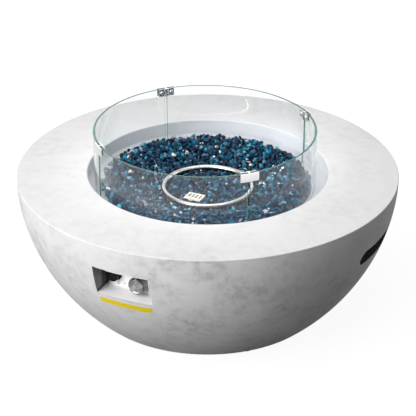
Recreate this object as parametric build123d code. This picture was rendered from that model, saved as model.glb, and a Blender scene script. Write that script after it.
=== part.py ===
from build123d import *
import math
import os

# A round concrete gas fire bowl with a loose glass wind guard.
# Millimetres. +Z is up and the origin is on the ground under the bowl's centre.
# -Y is the user's side, where the control recess is; the hand slots are at +X and -X.

# ---------------------------------------------------------------- clearances
seat_gap = 0.3          # between a loose or dropped-in piece and what carries it
slip_fit = 0.06         # radial clearance of a shaft that turns or slides
screw_fit = 0.1         # radial clearance round a screw or a tube

# ---------------------------------------------------------------- bowl
bowl_radius = 540.0
overall_height = 410.0
base_inset = 200.0      # from the rim's radius in to the base's
base_angle = 41.2       # slope of the wall where it meets the base, in degrees
rim_pull = 105.4        # how long the wall stays upright under the rim
base_pull = 202.6       # how long it keeps the base's slope
bowl_wall = 20.0
top_slab = 22.0
rim_round = 2.0
opening_bevel = 1.2
base_flange_width = 45.0
base_flange_thickness = 20.0

foot_radius = 20.0
foot_thickness = 8.0
foot_reveal = 3.0       # how far the rubber pads lift the bowl off the ground
foot_round = 1.0
foot_count = 4

hand_slot_width = 220.0
hand_slot_height = 45.0
hand_slot_drop = 120.5  # from the rim down to the slot's middle

# ---------------------------------------------------------------- fire opening
hole_radius = 342.0
hole_wall = 20.0
seat_width = 20.0
seat_thickness = 18.0
collar_depth = 41.0     # from the rim down to the pan's ledge
collar_reveal = 0.8     # how far the steel collar stays under the rim
sheet = 1.5
ledge_inside = 12.0     # width of the ledge from the glass's inner face to the basin
basin_depth = 50.0
drain_radius = 4.0
drain_inset = 61.0      # of the drain holes' circle from the basin's wall
drain_count = 4
nipple_hole_gap = 1.5   # round the burner's pipe in the pan's floor

# ---------------------------------------------------------------- wind guard
guard_setback = 28.0    # from the opening's wall in to the glass's outer face
glass_thickness = 6.0
glass_height = 166.0
glass_gap = 7.0         # between two neighbouring panels
glass_corner = 5.0
guard_turn = 47.8       # direction of the first seam, from -Y towards +X, in degrees
panel_count = 4
guard_shift_x = -6.5    # the loose guard stands a little off the middle
guard_shift_y = -3.1
clip_height = 23.5
clip_wing = 26.4        # width of each of the clip's two outer wings
clip_thickness = 2.5
clip_rise = 1.5         # how far the clip stands over the glass
pad_thickness = 1.0
pad_margin = 2.0
web_gap = 1.0           # between a clip's web and the glass at each side
wing_overlap = 0.2      # where a clip's two outer wings run into each other
inner_wing_width = 17.5
inner_wing_offset = 15.0    # from the seam to the wing's middle
spine_depth = 5.0       # of the rounded spine between a clip's inner wings
spine_round = 4.0
spine_overlap = 0.5     # where the spine runs into the inner wings
clip_screw_radius = 2.5
clip_screw_head_radius = 5.2
clip_screw_head = 3.0
clip_screw_round = 2.2

# ---------------------------------------------------------------- burner
ring_radius = 125.5     # centre line of the burner tube
ring_tube = 7.0
ring_bore = 5.8
ring_depth = 55.0       # from the rim down to the ring's centre line
port_radius = 1.3
port_tilt = 45.0        # of the ports, from straight up towards the ring's middle
port_count = 24
cross_tube = 5.0
cross_drop = 15.0       # from the ring's centre line down to the cross tube's
cross_end = 1.0         # how far the cross tube runs past the risers
riser_radius = 4.5
hub_radius = 17.0
hub_height = 20.0
hub_cover = 3.0         # of the hub over the cross tube
nipple_radius = 10.5
nipple_bore = 8.0
nipple_length = 64.0
nipple_grip = 12.0      # thread engagement in the hub
locknut_flats = 32.0
locknut_height = 6.0
mixer_radius = 13.5
mixer_length = 50.0
mixer_grip = 14.0
mixer_base = 10.0
air_slot_rise = 8.0     # over the mixer's base
air_slot_width = 6.0
air_slot_height = 14.0
air_slot_count = 4
spud_radius = 6.0
spud_height = 16.0
spud_nose = 4.0
spud_nose_radius = 3.0
spud_tail = 8.0
spud_tail_radius = 4.4
jet_radius = 0.9
elbow_radius = 9.5
elbow_height = 22.0
elbow_floor = 0.5       # under the arm
elbow_bore = 4.0
elbow_seat = 2.0        # depth of the flare seat in the elbow's mouth
elbow_arm_radius = 8.5
elbow_reach = 33.0      # from the burner's axis to the elbow's mouth
leg_width = 12.0
leg_foot = 16.0
leg_screw_radius = 2.0
leg_screw_head_radius = 4.0
leg_screw_head = 1.6

# ---------------------------------------------------------------- pilot
pilot_x = -4.0
pilot_inset = 48.5      # from the ring's centre line in to the pilot
cage_length = 50.0
cage_width = 41.0
cage_sheet = 1.0
cage_proud = 2.0        # how far the cage's top stands over the ring's centre line
cage_slot_width = 5.4
cage_slot_length = 22.0
cage_slot_shift = 3.5   # of the slots, from the cage's middle towards +Y
cage_hole_radius = 1.9
cage_hole_inset = 5.0
cage_row_count = 4      # slots, and holes in front of them
cage_pitch = 11.0
cage_tab = 10.0
cage_tab_width = 12.0
bracket_length = 46.0
bracket_width = 34.0
bracket_upturn = 14.0
pan_cutout_length = 36.0
pan_cutout_width = 24.0
pilot_collar = 3.0
pilot_tail = 14.0       # how far the pilot's fittings reach under the pan
nozzle_radius = 4.0
nozzle_collar_width = 2.0
nozzle_height = 26.0
hood_radius = 5.5
hood_length = 12.0
hood_wall = 1.0
hood_floor = 2.0
mouth_width = 4.0
mouth_height = 6.0
mouth_drop = 3.0        # from the hood's top
probe_radius = 2.5
probe_height = 30.0
probe_round = 2.0
probe_collar_width = 1.5
insulator_radius = 3.0
insulator_height = 16.0
electrode_radius = 1.0
electrode_height = 28.0
electrode_tip = 4.0
nozzle_x = pilot_x - 2.0
probe_x = pilot_x + 12.0
electrode_x = pilot_x - 15.0

# ---------------------------------------------------------------- fire glass
bed_guard_gap = 9.5     # between the bed and a centred wind guard
bed_gap = 0.5
bed_clearance = 2.5     # round the burner's pieces
bed_edge_rise = 6.0     # over the ledge at the wind guard
bed_shoulder_drop = 5.0
bed_shoulder_inset = 61.0
bed_middle_drop = 6.0   # from the ring's centre line down to the bed round it
bed_pilot_hollow = 6.0  # height of the hollow over the cage's tabs

# ---------------------------------------------------------------- controls
recess_width = 166.0
recess_top_drop = 72.0  # from the rim
recess_height = 90.0
recess_corner = 2.0
panel_setback = 85.0    # from the rim's radius in to the panel's front
liner_sheet = 1.2
liner_lip = 10.0
liner_flush = 0.5       # how far the liner's edge stays under the bowl's face
stud_radius = 1.5
stud_length = 7.0
stud_inset = 5.0
stud_nut_flats = 5.5
stud_nut_height = 2.4

knob_x = 26.0
knob_drop = 11.0        # from the recess's middle
knob_radius = 25.5
knob_flange = 1.5       # of the flared base, round the barrel
knob_length = 30.0
knob_gap = 4.5          # from the panel; it has to be more than the push
knob_bore_depth = 20.0
knob_push = 3.5
knob_skirt = 2.5        # straight part of the flared base
knob_flare = 3.0        # from the skirt to the barrel
knob_taper = 1.5        # of the barrel towards its front
knob_nose = 3.0         # length of the rounded front
knob_nose_width = 2.5
knob_land = 3.0         # flat ring round the front's dish
knob_dish = 1.2
knob_dish_width = 2.0
knob_hub_radius = 9.0
knob_wall = 3.0
knob_hollow = 16.0
pointer_width = 2.4
pointer_depth = 2.4
pointer_length = 12.0
stem_hole_gap = 1.0     # round the stem in the panel
stem_clearance = 1.0    # between the stem's front and the knob's bore end
stem_runout = 2.0       # behind the pushed stem
stem_radius = 4.0
stem_flat = 1.0
stem_collar_radius = 6.5
stem_collar = 2.0
stem_guide = 20.0
valve_flange = 36.0
valve_flange_thickness = 4.0
valve_flange_corner = 4.0
valve_radius = 17.0
valve_cap_step = 2.0
valve_length = 40.0
valve_cap = 6.0
valve_chamber_radius = 9.0
valve_chamber_length = 18.0
outlet_radius = 9.0
outlet_length = 10.0
inlet_boss_radius = 10.0
inlet_boss_length = 12.0
inlet_setback = 24.0    # from the panel's back to the inlet's axis
inlet_hex_flats = 19.0
inlet_hex_height = 10.0
flare_radius = 7.94
flare_length = 18.0
flare_bore = 4.5
valve_screw_spacing = 28.0
small_screw_radius = 2.0
small_screw_head_radius = 3.6
small_screw_head = 1.8
spring_washer = 1.5
spring_wire = 1.2
spring_turns = 4
spring_gap = 0.15       # at each end of a spring, before the wire's own thickness
valve_spring_radius = 6.2

igniter_x = -52.0
igniter_drop = 5.0      # from the recess's middle
igniter_bezel_radius = 18.5
igniter_bezel = 5.0
igniter_tube_radius = 13.0
igniter_neck_radius = 11.9
igniter_cap_radius = 15.5
igniter_cap = 11.0
igniter_cap_round = 3.0
igniter_bezel_round = 1.5
igniter_cap_gap = 1.0   # left between the pushed cap and the bezel
igniter_push = 4.0
igniter_neck = 17.0
igniter_chamber = 22.0  # from the bezel's face to the battery
igniter_spring_radius = 9.9
igniter_nut_flats = 32.0
igniter_nut_height = 6.0
battery_radius = 7.25
battery_length = 50.0
battery_fit = 0.15
battery_nub_radius = 2.7
battery_nub = 1.5
battery_room = 1.0      # behind the battery
igniter_end = 8.0
terminal_width = 6.3
terminal_length = 8.0
terminal_spacing = 10.0
terminal_thickness = 0.8

shield_width = 190.0
shield_drop = 40.0
shield_flange = 28.0
shield_set_out = 8.0    # of the plate, from the middle of the pan's seat
shield_screw_spacing = 130.0

flex_radius = 6.0
flex_nut_flats = 17.0
flex_nut_height = 14.0
pilot_tube_radius = 2.5
lead_radius = 1.5
valve_port_radius = 4.0
valve_port_length = 5.0
valve_port_root = 4.0   # how deep the port is set in the valve
valve_port_offset = 12.0
valve_port_drop = 10.0

# ---------------------------------------------------------------- levels and places
rim_z = overall_height
base_z = foot_reveal
base_radius = bowl_radius - base_inset
ledge_z = rim_z - collar_depth
seat_z = ledge_z - sheet
seat_under_z = seat_z - seat_thickness
basin_z = ledge_z - basin_depth
pan_under_z = basin_z - sheet
ring_z = rim_z - ring_depth
cross_z = ring_z - cross_drop
hub_top_z = cross_z + cross_tube + hub_cover
hub_z = hub_top_z - hub_height
nipple_top_z = hub_z + nipple_grip
nipple_z = nipple_top_z - nipple_length
mixer_top_z = nipple_z + mixer_grip
mixer_z = mixer_top_z - mixer_length
elbow_top_z = mixer_z
elbow_z = elbow_top_z - elbow_height
elbow_arm_z = elbow_z + elbow_arm_radius + elbow_floor
cage_top_z = ring_z + cage_proud
bracket_top_z = basin_z + sheet
pilot_tail_z = pan_under_z - pilot_tail
glass_z = ledge_z + seat_gap
glass_top_z = glass_z + glass_height
guard_radius = hole_radius - guard_setback
guard_inner = guard_radius - glass_thickness
basin_radius = guard_inner - ledge_inside
drain_circle = basin_radius - drain_inset
bed_edge_radius = guard_inner - bed_guard_gap
bed_shoulder_radius = basin_radius - bed_shoulder_inset
pilot_y = -(ring_radius - pilot_inset)

recess_top_z = rim_z - recess_top_drop
recess_z = recess_top_z - recess_height
recess_middle_z = recess_top_z - recess_height / 2
panel_y = -(bowl_radius - panel_setback)
panel_back_y = panel_y + sheet
knob_z = recess_middle_z - knob_drop
knob_base_radius = knob_radius + knob_flange
igniter_z = recess_middle_z - igniter_drop
valve_end_y = panel_back_y + valve_flange_thickness + valve_length + valve_cap + outlet_length
port_y = valve_end_y - outlet_length + valve_port_length
igniter_end_y = panel_y - igniter_bezel + igniter_chamber + battery_length + igniter_end
inlet_y = panel_back_y + inlet_setback
inlet_z = knob_z - valve_radius - inlet_boss_length
valve_port_z = knob_z - valve_port_drop
igniter_cap_back_y = panel_y - igniter_bezel - igniter_push - igniter_cap_gap
hand_slot_z = rim_z - hand_slot_drop


# ---------------------------------------------------------------- helpers
def turned(points):
    """A ring or disc turned about the bowl's axis from an outline of (radius, height)."""
    outline = make_face(Polyline(*[(r, 0, z) for r, z in points], close=True))
    return revolve(outline, Axis.Z, 360)


def rod(radius, low, high, x=0.0, y=0.0):
    """An upright cylinder between two heights."""
    return Pos(x, y, low) * Cylinder(radius, high - low, align=(Align.CENTER, Align.CENTER, Align.MIN))


def rod_y(radius, front, back, x, z):
    """A cylinder along Y between two places."""
    local = Cylinder(radius, back - front, align=(Align.CENTER, Align.CENTER, Align.MIN))
    return Pos(x, front, z) * Rot(-90, 0, 0) * local


def block(x_low, x_high, y_low, y_high, z_low, z_high):
    """A box between two corners."""
    size = (x_high - x_low, y_high - y_low, z_high - z_low)
    return Pos(x_low, y_low, z_low) * Box(*size, align=(Align.MIN, Align.MIN, Align.MIN))


def hexagon(flats, low, high, bore, x=0.0, y=0.0):
    """A hexagon nut standing on its face."""
    outline = RegularPolygon(flats / 2, 6, major_radius=False) - Circle(bore)
    return Pos(x, y, low) * extrude(outline, high - low)


def hexagon_y(flats, front, back, bore, x, z):
    """A hexagon nut with its axis along Y."""
    outline = RegularPolygon(flats / 2, 6, major_radius=False) - Circle(bore)
    return Pos(x, front, z) * Rot(-90, 0, 0) * extrude(outline, back - front)


def around(shape, count, start=0.0):
    """Copies of a shape spread evenly round the bowl's axis."""
    return [Rot(0, 0, start + 360 / count * k) * shape for k in range(count)]


def group(solids):
    """Separate solids that share one node."""
    return Compound(children=[solid for piece in solids for solid in piece.solids()])


def tube_along(points, radius, label):
    """A round tube on straight runs, joined by the largest arcs that the runs allow."""
    places = [Vector(*p) for p in points]
    radii = []
    for a, b, c in zip(places, places[1:], places[2:]):
        turn = math.radians((b - a).get_angle(c - b))
        shorter = min((b - a).length, (c - b).length)
        radii.append(0.45 * shorter / math.tan(turn / 2))
    path = FilletPolyline(*places, radius=radii)
    print(label, "radii", [round(r) for r in radii], "length", round(path.length))
    section = Plane(origin=path @ 0, z_dir=path % 0) * Circle(radius)
    return sweep(section, path=path)


# ---------------------------------------------------------------- bowl
def bowl_outline(inset):
    """Everything inside the bowl's face, or inside a surface that lies the inset under it."""
    slope = math.radians(base_angle)
    shrink = 1 - inset / base_radius
    foot_r = base_radius - inset * math.sin(slope)
    foot_z = base_z + inset * math.cos(slope)
    rim_r = bowl_radius - inset
    side = Bezier(
        (rim_r, 0, rim_z - rim_round),
        (rim_r, 0, rim_z - rim_pull * shrink),
        (foot_r + base_pull * shrink * math.cos(slope), 0, foot_z + base_pull * shrink * math.sin(slope)),
        (foot_r, 0, foot_z),
    )
    edge = TangentArc((rim_r, 0, rim_z - rim_round), (rim_r - rim_round, 0, rim_z), tangent=(0, 0, 1))
    rest = Polyline((foot_r, 0, foot_z), (0, 0, foot_z), (0, 0, rim_z), (rim_r - rim_round, 0, rim_z))
    return revolve(make_face([side, edge, rest]), Axis.Z, 360)


def recess_block(clearance, front, back):
    """The control recess as a block along Y, smaller all round by the clearance."""
    outline = RectangleRounded(recess_width - 2 * clearance, recess_height - 2 * clearance, recess_corner)
    return Pos(0, front, recess_middle_z) * Rot(-90, 0, 0) * extrude(outline, back - front)


def bowl_shell():
    """The concrete bowl: one moulding with a flat rim, a rebate for the pan and a base flange."""
    inside = bowl_outline(bowl_wall) & rod(bowl_radius, base_z + base_flange_thickness, rim_z - top_slab)
    hanging_wall = rod(hole_radius + hole_wall, seat_under_z, rim_z)
    body = bowl_outline(0) - (inside - hanging_wall)
    seat_r = hole_radius - seat_width
    body -= turned([
        (0, seat_under_z - 1), (seat_r, seat_under_z - 1), (seat_r, seat_z), (hole_radius, seat_z),
        (hole_radius, rim_z - opening_bevel), (hole_radius + opening_bevel, rim_z), (0, rim_z),
    ])
    body -= rod(base_radius - base_flange_width, 0, base_z + base_flange_thickness)
    body -= recess_block(0, -bowl_radius - 1, -bowl_radius + 2 * panel_setback)
    slot_outline = Rot(0, 0, 90) * SlotOverall(hand_slot_width, hand_slot_height)
    slot = Rot(0, 90, 0) * extrude(slot_outline, 2 * bowl_radius + 2)
    body -= Pos(-bowl_radius - 1, 0, hand_slot_z) * slot
    return body - around(foot_pocket(), foot_count, 45)


def foot_place():
    """Distance of each pad from the bowl's axis: the middle of the base flange."""
    return base_radius - base_flange_width / 2


def foot_pocket():
    """The shallow pocket that a rubber pad is pressed into."""
    return rod(foot_radius + seat_gap, 0, foot_thickness, foot_place())


def foot_pads():
    """Round rubber pads under the base flange."""
    pad = rod(foot_radius, 0, foot_thickness, foot_place())
    pad = fillet(pad.edges().sort_by(Axis.Z)[0], foot_round)
    return group(around(pad, foot_count, 45))


# ---------------------------------------------------------------- fire pan and guard
def burner_pan():
    """The stainless drop-in pan: collar, ledge for the wind guard, and basin."""
    collar_r = hole_radius - seat_gap
    hole_r = nipple_radius + nipple_hole_gap
    pan = turned([
        (collar_r, rim_z - collar_reveal), (collar_r, seat_z), (basin_radius + sheet, seat_z),
        (basin_radius + sheet, pan_under_z), (hole_r, pan_under_z), (hole_r, basin_z),
        (basin_radius, basin_z), (basin_radius, ledge_z), (collar_r - sheet, ledge_z),
        (collar_r - sheet, rim_z - collar_reveal),
    ])
    pan -= Pos(pilot_x, pilot_y, pan_under_z) * Box(pan_cutout_length, pan_cutout_width, 4 * sheet)
    return pan - around(rod(drain_radius, pan_under_z - 1, basin_z + 1, drain_circle), drain_count, 45)


def guard_place(turn):
    """Turns a piece round the guard from the first seam, and moves it to where the guard stands."""
    return Pos(guard_shift_x, guard_shift_y, 0) * Rot(0, 0, guard_turn + turn)


def glass_panel(index):
    """One curved panel of tempered glass, between two seams."""
    ring = rod(guard_radius, glass_z, glass_top_z) - rod(guard_inner, glass_z - 1, glass_top_z + 1)
    half_turn = 180 / panel_count
    half_angle = math.radians(half_turn)
    width = 2 * guard_radius * math.sin(half_angle) - glass_gap / math.cos(half_angle)
    window = Pos(0, 0, (glass_z + glass_top_z) / 2) * Rot(90, 0, 0) * extrude(
        RectangleRounded(width, glass_height, glass_corner), guard_radius + 1)
    wedge = window & panel_sector(half_turn)
    return guard_place(half_turn * (2 * index + 1)) * (ring & wedge)


def panel_sector(half_turn):
    """The sector between two seams, less half a gap at each side."""
    reach = 2 * guard_radius
    back = glass_gap / 2 / math.sin(math.radians(half_turn))
    side = reach * math.tan(math.radians(half_turn))
    corners = [(0, -back), (side, -back - reach), (-side, -back - reach)]
    return Pos(0, 0, glass_z - 1) * extrude(make_face(Polyline(*corners, close=True)), glass_height + 2)


def outer_wing_turn():
    """Angle from a seam to the middle of a clip's outer wing."""
    return math.degrees((clip_wing / 2) / guard_radius)


def inner_wing_turn():
    """Angle from a seam to the middle of a clip's inner wing."""
    return math.degrees(inner_wing_offset / guard_inner)


def outer_wing_r():
    """Where the outer wing's flat inner face stands."""
    return guard_radius + screw_fit + pad_thickness


def inner_wing_r():
    """Where the inner wing's flat outer face stands, clear of the glass at the wing's ends."""
    return math.sqrt(guard_inner ** 2 - (inner_wing_width / 2) ** 2) - screw_fit - pad_thickness


def at_seam(shape, seam, offset=0.0):
    """Turns a piece made at -Y round to a seam, or to a wing beside it."""
    return guard_place(360 / panel_count * seam + offset) * shape


def clip_body(seam):
    """A cast clip with an H section: two outer wings, a web in the gap, a spine and two inner wings."""
    low = glass_top_z + clip_rise - clip_height
    high = glass_top_z + clip_rise
    outer_y = -outer_wing_r()
    inner_y = -inner_wing_r()
    outer_half = clip_wing / 2 + wing_overlap
    inner_half = inner_wing_width / 2
    web_half = glass_gap / 2 - web_gap
    spine_half = inner_wing_offset - inner_half + spine_overlap
    outer = block(-outer_half, outer_half, outer_y - clip_thickness, outer_y, low, high)
    inner = block(-inner_half, inner_half, inner_y, inner_y + clip_thickness, low, high)
    hole_r = clip_screw_radius + screw_fit
    inner -= rod_y(hole_r, inner_y - 1, inner_y + clip_thickness + 1, 0, (low + high) / 2)
    spine = block(-spine_half, spine_half, inner_y, inner_y + spine_depth, low, high)
    spine = fillet(spine.edges().filter_by(Axis.Z).group_by(Axis.Y)[-1], spine_round)
    web = block(-web_half, web_half, outer_y - 1, inner_y + 1, low, high)
    body = at_seam(web, seam) + at_seam(spine, seam)
    for side in (-1, 1):
        body += at_seam(outer, seam, side * outer_wing_turn())
        body += at_seam(inner, seam, side * inner_wing_turn())
    return body


def clip_pads():
    """Thin rubber pads between each clip's wings and the glass."""
    low = glass_top_z + clip_rise - clip_height + pad_margin
    high = glass_top_z - pad_margin
    outer_half = clip_wing / 2 - glass_gap / 2 - pad_margin
    inner_half = inner_wing_width / 2 - pad_margin
    outer_y = -outer_wing_r()
    inner_y = -inner_wing_r()
    inner = block(-inner_half, inner_half, inner_y - pad_thickness, inner_y, low, high)
    pads = []
    for seam in range(panel_count):
        for side in (-1, 1):
            x = side * glass_gap / 4
            outer = block(x - outer_half, x + outer_half, outer_y, outer_y + pad_thickness, low, high)
            pads.append(at_seam(outer, seam, side * outer_wing_turn()))
            pads.append(at_seam(inner, seam, side * inner_wing_turn()))
    return group(pads)


def clip_screws():
    """Round-head screws in the inner wings, which press the pads on the glass."""
    middle_z = glass_top_z + clip_rise - clip_height / 2
    face = -inner_wing_r() + clip_thickness
    shank = rod_y(clip_screw_radius, -inner_wing_r(), face, 0, middle_z)
    head = rod_y(clip_screw_head_radius, face, face + clip_screw_head, 0, middle_z)
    head = fillet(head.edges().filter_by(GeomType.CIRCLE).sort_by(Axis.Y)[-1], clip_screw_round)
    places = [(seam, side * inner_wing_turn()) for seam in range(panel_count) for side in (-1, 1)]
    return group([at_seam(shank + head, seam, offset) for seam, offset in places])


# ---------------------------------------------------------------- burner
def burner_ring():
    """The stainless burner tube, bent to a ring, with its ports on the inner top side."""
    ring = Pos(0, 0, ring_z) * (Torus(ring_radius, ring_tube) - Torus(ring_radius, ring_bore))
    port = rod(port_radius, ring_bore - 1, ring_tube + 1)
    port = Pos(0, -ring_radius, ring_z) * Rot(-port_tilt, 0, 0) * port
    return ring - around(port, port_count, 180 / port_count)


def burner_feed():
    """The hub and the cross tube that carry gas to the ring through two risers."""
    reach = ring_radius + cross_tube + cross_end
    feed = Pos(-reach, 0, cross_z) * Rot(0, 90, 0) * rod(cross_tube, 0, 2 * reach)
    for side in (-1, 1):
        feed += rod(riser_radius, cross_z, ring_z, side * ring_radius)
    feed += rod(hub_radius, hub_z, hub_top_z)
    feed -= Pos(0, 0, ring_z) * Torus(ring_radius, ring_tube)
    feed -= rod(nipple_radius + screw_fit, hub_z, nipple_top_z)
    return feed


def burner_nipple():
    """The threaded pipe that passes the pan's centre hole."""
    return rod(nipple_radius, nipple_z, nipple_top_z) - rod(nipple_bore, nipple_z, nipple_top_z)


def burner_locknuts():
    """One nut over and one under the pan."""
    bore = nipple_radius + screw_fit
    return group([
        hexagon(locknut_flats, basin_z, basin_z + locknut_height, bore),
        hexagon(locknut_flats, pan_under_z - locknut_height, pan_under_z, bore),
    ])


def burner_legs():
    """Two bent strips that hold the ring's front and back off the pan."""
    ring_under_z = ring_z - ring_tube
    half = leg_width / 2
    upright = block(-half, half, -ring_radius, -ring_radius + sheet, basin_z, ring_under_z + 1)
    foot = block(-half, half, -ring_radius - leg_foot, -ring_radius, basin_z, basin_z + sheet)
    hole_r = leg_screw_radius + screw_fit
    hole = rod(hole_r, basin_z - 1, basin_z + sheet + 1, 0, -ring_radius - leg_foot / 2)
    leg = upright + foot - hole
    leg -= Pos(0, 0, ring_z) * Torus(ring_radius, ring_tube)
    return group(around(leg, 2))


def pan_screw(top, x, y):
    """A pan-head screw through a foot or a tab that lies on the pan."""
    head = rod(leg_screw_head_radius, top, top + leg_screw_head, x, y)
    return head + rod(leg_screw_radius, basin_z, top, x, y)


def burner_screws():
    """Self-tapping screws through the legs' feet."""
    y = -ring_radius - leg_foot / 2
    top = basin_z + sheet
    return group(around(pan_screw(top, 0, y), 2))


def air_mixer():
    """The sleeve under the burner, with slots where the gas jet draws its air in."""
    bore = nipple_radius + screw_fit
    throat = spud_radius + screw_fit
    mixer = turned([
        (mixer_radius, mixer_z), (mixer_radius, mixer_top_z), (bore, mixer_top_z),
        (bore, mixer_z + mixer_base), (throat, mixer_z + mixer_base), (throat, mixer_z),
    ])
    slot_z = mixer_z + mixer_base + air_slot_rise
    slot = block(-air_slot_width / 2, air_slot_width / 2, -mixer_radius - 1, -bore + 1,
                 slot_z, slot_z + air_slot_height)
    return mixer - around(slot, air_slot_count, 45)


def orifice_spud():
    """The brass gas jet."""
    top = elbow_top_z + spud_height
    low = elbow_top_z - spud_tail
    return turned([
        (jet_radius, low), (spud_tail_radius, low), (spud_tail_radius, elbow_top_z),
        (spud_radius, elbow_top_z), (spud_radius, top - spud_nose), (spud_nose_radius, top),
        (jet_radius, top),
    ])


def gas_elbow():
    """The brass elbow that turns the gas up into the jet."""
    elbow = rod(elbow_radius, elbow_z, elbow_top_z)
    elbow += rod_y(elbow_arm_radius, -elbow_reach, 0, 0, elbow_arm_z)
    elbow -= rod(spud_tail_radius + slip_fit, elbow_arm_z, elbow_top_z)
    elbow -= rod_y(elbow_bore, -elbow_reach + elbow_seat, 0, 0, elbow_arm_z)
    return elbow


# ---------------------------------------------------------------- pilot
def pilot_rod(radius, low, high, x):
    """An upright round piece of the pilot."""
    return rod(radius, low, high, x, pilot_y)


def pilot_bracket():
    """The plate over the pan's cut-out that carries the pilot's three pieces."""
    left = pilot_x - bracket_length / 2
    right = pilot_x + bracket_length / 2
    front = pilot_y - bracket_width / 2
    back = pilot_y + bracket_width / 2
    plate = block(left, right, front, back, basin_z, bracket_top_z)
    plate += block(left, right, back - sheet, back, basin_z, bracket_top_z + bracket_upturn)
    for x, radius in ((nozzle_x, nozzle_radius), (probe_x, probe_radius), (electrode_x, insulator_radius)):
        plate -= pilot_rod(radius + screw_fit, basin_z - 1, bracket_top_z + 1, x)
    return plate


def pilot_nozzle():
    """The pilot's jet and its hood, with a mouth towards the burner and one towards the electrode."""
    top = bracket_top_z + nozzle_height
    hood_z = top - hood_length
    collar_r = nozzle_radius + nozzle_collar_width
    nozzle = pilot_rod(nozzle_radius, pilot_tail_z, hood_z, nozzle_x)
    nozzle += pilot_rod(collar_r, bracket_top_z, bracket_top_z + pilot_collar, nozzle_x)
    nozzle += pilot_rod(hood_radius, hood_z, top, nozzle_x)
    nozzle -= pilot_rod(hood_radius - hood_wall, hood_z + hood_floor, top - hood_wall, nozzle_x)
    mouth_top = top - mouth_drop
    mouth = block(-2 * hood_radius, 2 * hood_radius, -mouth_width / 2, mouth_width / 2,
                  mouth_top - mouth_height, mouth_top)
    return nozzle - Pos(nozzle_x, pilot_y, 0) * mouth


def thermocouple():
    """The flame sensor: a round probe with a domed tip and a seating collar."""
    top = bracket_top_z + probe_height
    probe = pilot_rod(probe_radius, pilot_tail_z, top, probe_x)
    probe = fillet(probe.edges().filter_by(GeomType.CIRCLE).sort_by(Axis.Z)[-1], probe_round)
    collar_r = probe_radius + probe_collar_width
    return probe + pilot_rod(collar_r, bracket_top_z, bracket_top_z + pilot_collar, probe_x)


def electrode_insulator():
    """The ceramic sleeve of the spark electrode."""
    top = bracket_top_z + insulator_height
    sleeve = pilot_rod(insulator_radius, pilot_tail_z, top, electrode_x)
    collar_r = insulator_radius + probe_collar_width
    sleeve += pilot_rod(collar_r, bracket_top_z, bracket_top_z + pilot_collar, electrode_x)
    return sleeve - pilot_rod(electrode_radius + slip_fit, pilot_tail_z, top, electrode_x)


def electrode_wire():
    """The electrode's wire, bent over towards the pilot's hood."""
    top = bracket_top_z + electrode_height
    wire = pilot_rod(electrode_radius, pilot_tail_z, top, electrode_x)
    bend = Pos(electrode_x, pilot_y, top)
    tip = Rot(0, 90, 0) * rod(electrode_radius, 0, electrode_tip)
    return wire + bend * tip + bend * Sphere(electrode_radius)


def pilot_cage():
    """The perforated steel hood that keeps the fire glass off the pilot."""
    half_x = cage_length / 2
    half_y = cage_width / 2
    half_tab = cage_tab_width / 2
    inner_x = half_x - cage_sheet
    inner_y = half_y - cage_sheet
    tab_top = basin_z + cage_sheet
    screw_hole_r = leg_screw_radius + screw_fit
    cage = block(-half_x, half_x, -half_y, half_y, basin_z, cage_top_z)
    cage += block(-half_x - cage_tab, half_x + cage_tab, -half_tab, half_tab, basin_z, tab_top)
    openings = [block(-inner_x, inner_x, -inner_y, inner_y, basin_z, cage_top_z - cage_sheet)]
    slot = Rot(0, 0, 90) * SlotOverall(cage_slot_length, cage_slot_width)
    for k in range(cage_row_count):
        x = (k - (cage_row_count - 1) / 2) * cage_pitch
        openings.append(Pos(x, cage_slot_shift, cage_top_z - 2 * cage_sheet) * extrude(slot, 3 * cage_sheet))
        openings.append(rod(cage_hole_radius, cage_top_z - 2 * cage_sheet, cage_top_z + 1,
                            x, cage_hole_inset - half_y))
    for side in (-1, 1):
        openings.append(rod(screw_hole_r, basin_z - 1, tab_top + 1, side * (half_x + cage_tab / 2)))
    return Pos(pilot_x, pilot_y, 0) * (cage - openings)


def pilot_screws():
    """Screws through the cage's two tabs."""
    offset = (cage_length + cage_tab) / 2
    return group([pan_screw(basin_z + cage_sheet, pilot_x + side * offset, pilot_y) for side in (-1, 1)])


def fire_glass_bed():
    """The bed of fire glass as one plain body, clear of the burner and the pilot."""
    low = basin_z + bed_gap
    middle = ring_z - bed_middle_drop
    groove = ring_z - ring_tube - bed_clearance
    bed = turned([
        (0, low), (basin_radius - bed_gap, low), (basin_radius - bed_gap, ledge_z + bed_gap),
        (bed_edge_radius, ledge_z + bed_gap), (bed_edge_radius, ledge_z + bed_edge_rise),
        (bed_shoulder_radius, ledge_z - bed_shoulder_drop), (ring_radius + 2 * ring_tube, middle),
        (ring_radius + ring_tube + bed_clearance, groove), (ring_radius - ring_tube - bed_clearance, groove),
        (ring_radius - 2 * ring_tube, middle), (0, middle),
    ])
    channel = cross_tube + bed_clearance
    reach = ring_radius + cross_tube + 2 * bed_clearance
    bed -= block(-reach, reach, -channel, channel, cross_z - channel, middle + 1)
    bed -= rod(hub_radius + bed_clearance, low - 1, middle + 1)
    half_leg = leg_width / 2 + bed_clearance
    leg_front = -ring_radius - leg_foot - bed_clearance
    leg_back = -ring_radius + sheet + bed_clearance
    bed -= around(block(-half_leg, half_leg, leg_front, leg_back, low - 1, middle + 1), 2)
    half_x = cage_length / 2 + bed_clearance
    half_y = cage_width / 2 + bed_clearance
    half_tabs = half_x + cage_tab
    shaft = block(-half_x, half_x, -half_y, half_y, low - 1, middle + 1)
    shaft += block(-half_tabs, half_tabs, -half_y, half_y, low - 1, low + bed_pilot_hollow)
    return bed - Pos(pilot_x, pilot_y, 0) * shaft


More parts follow.
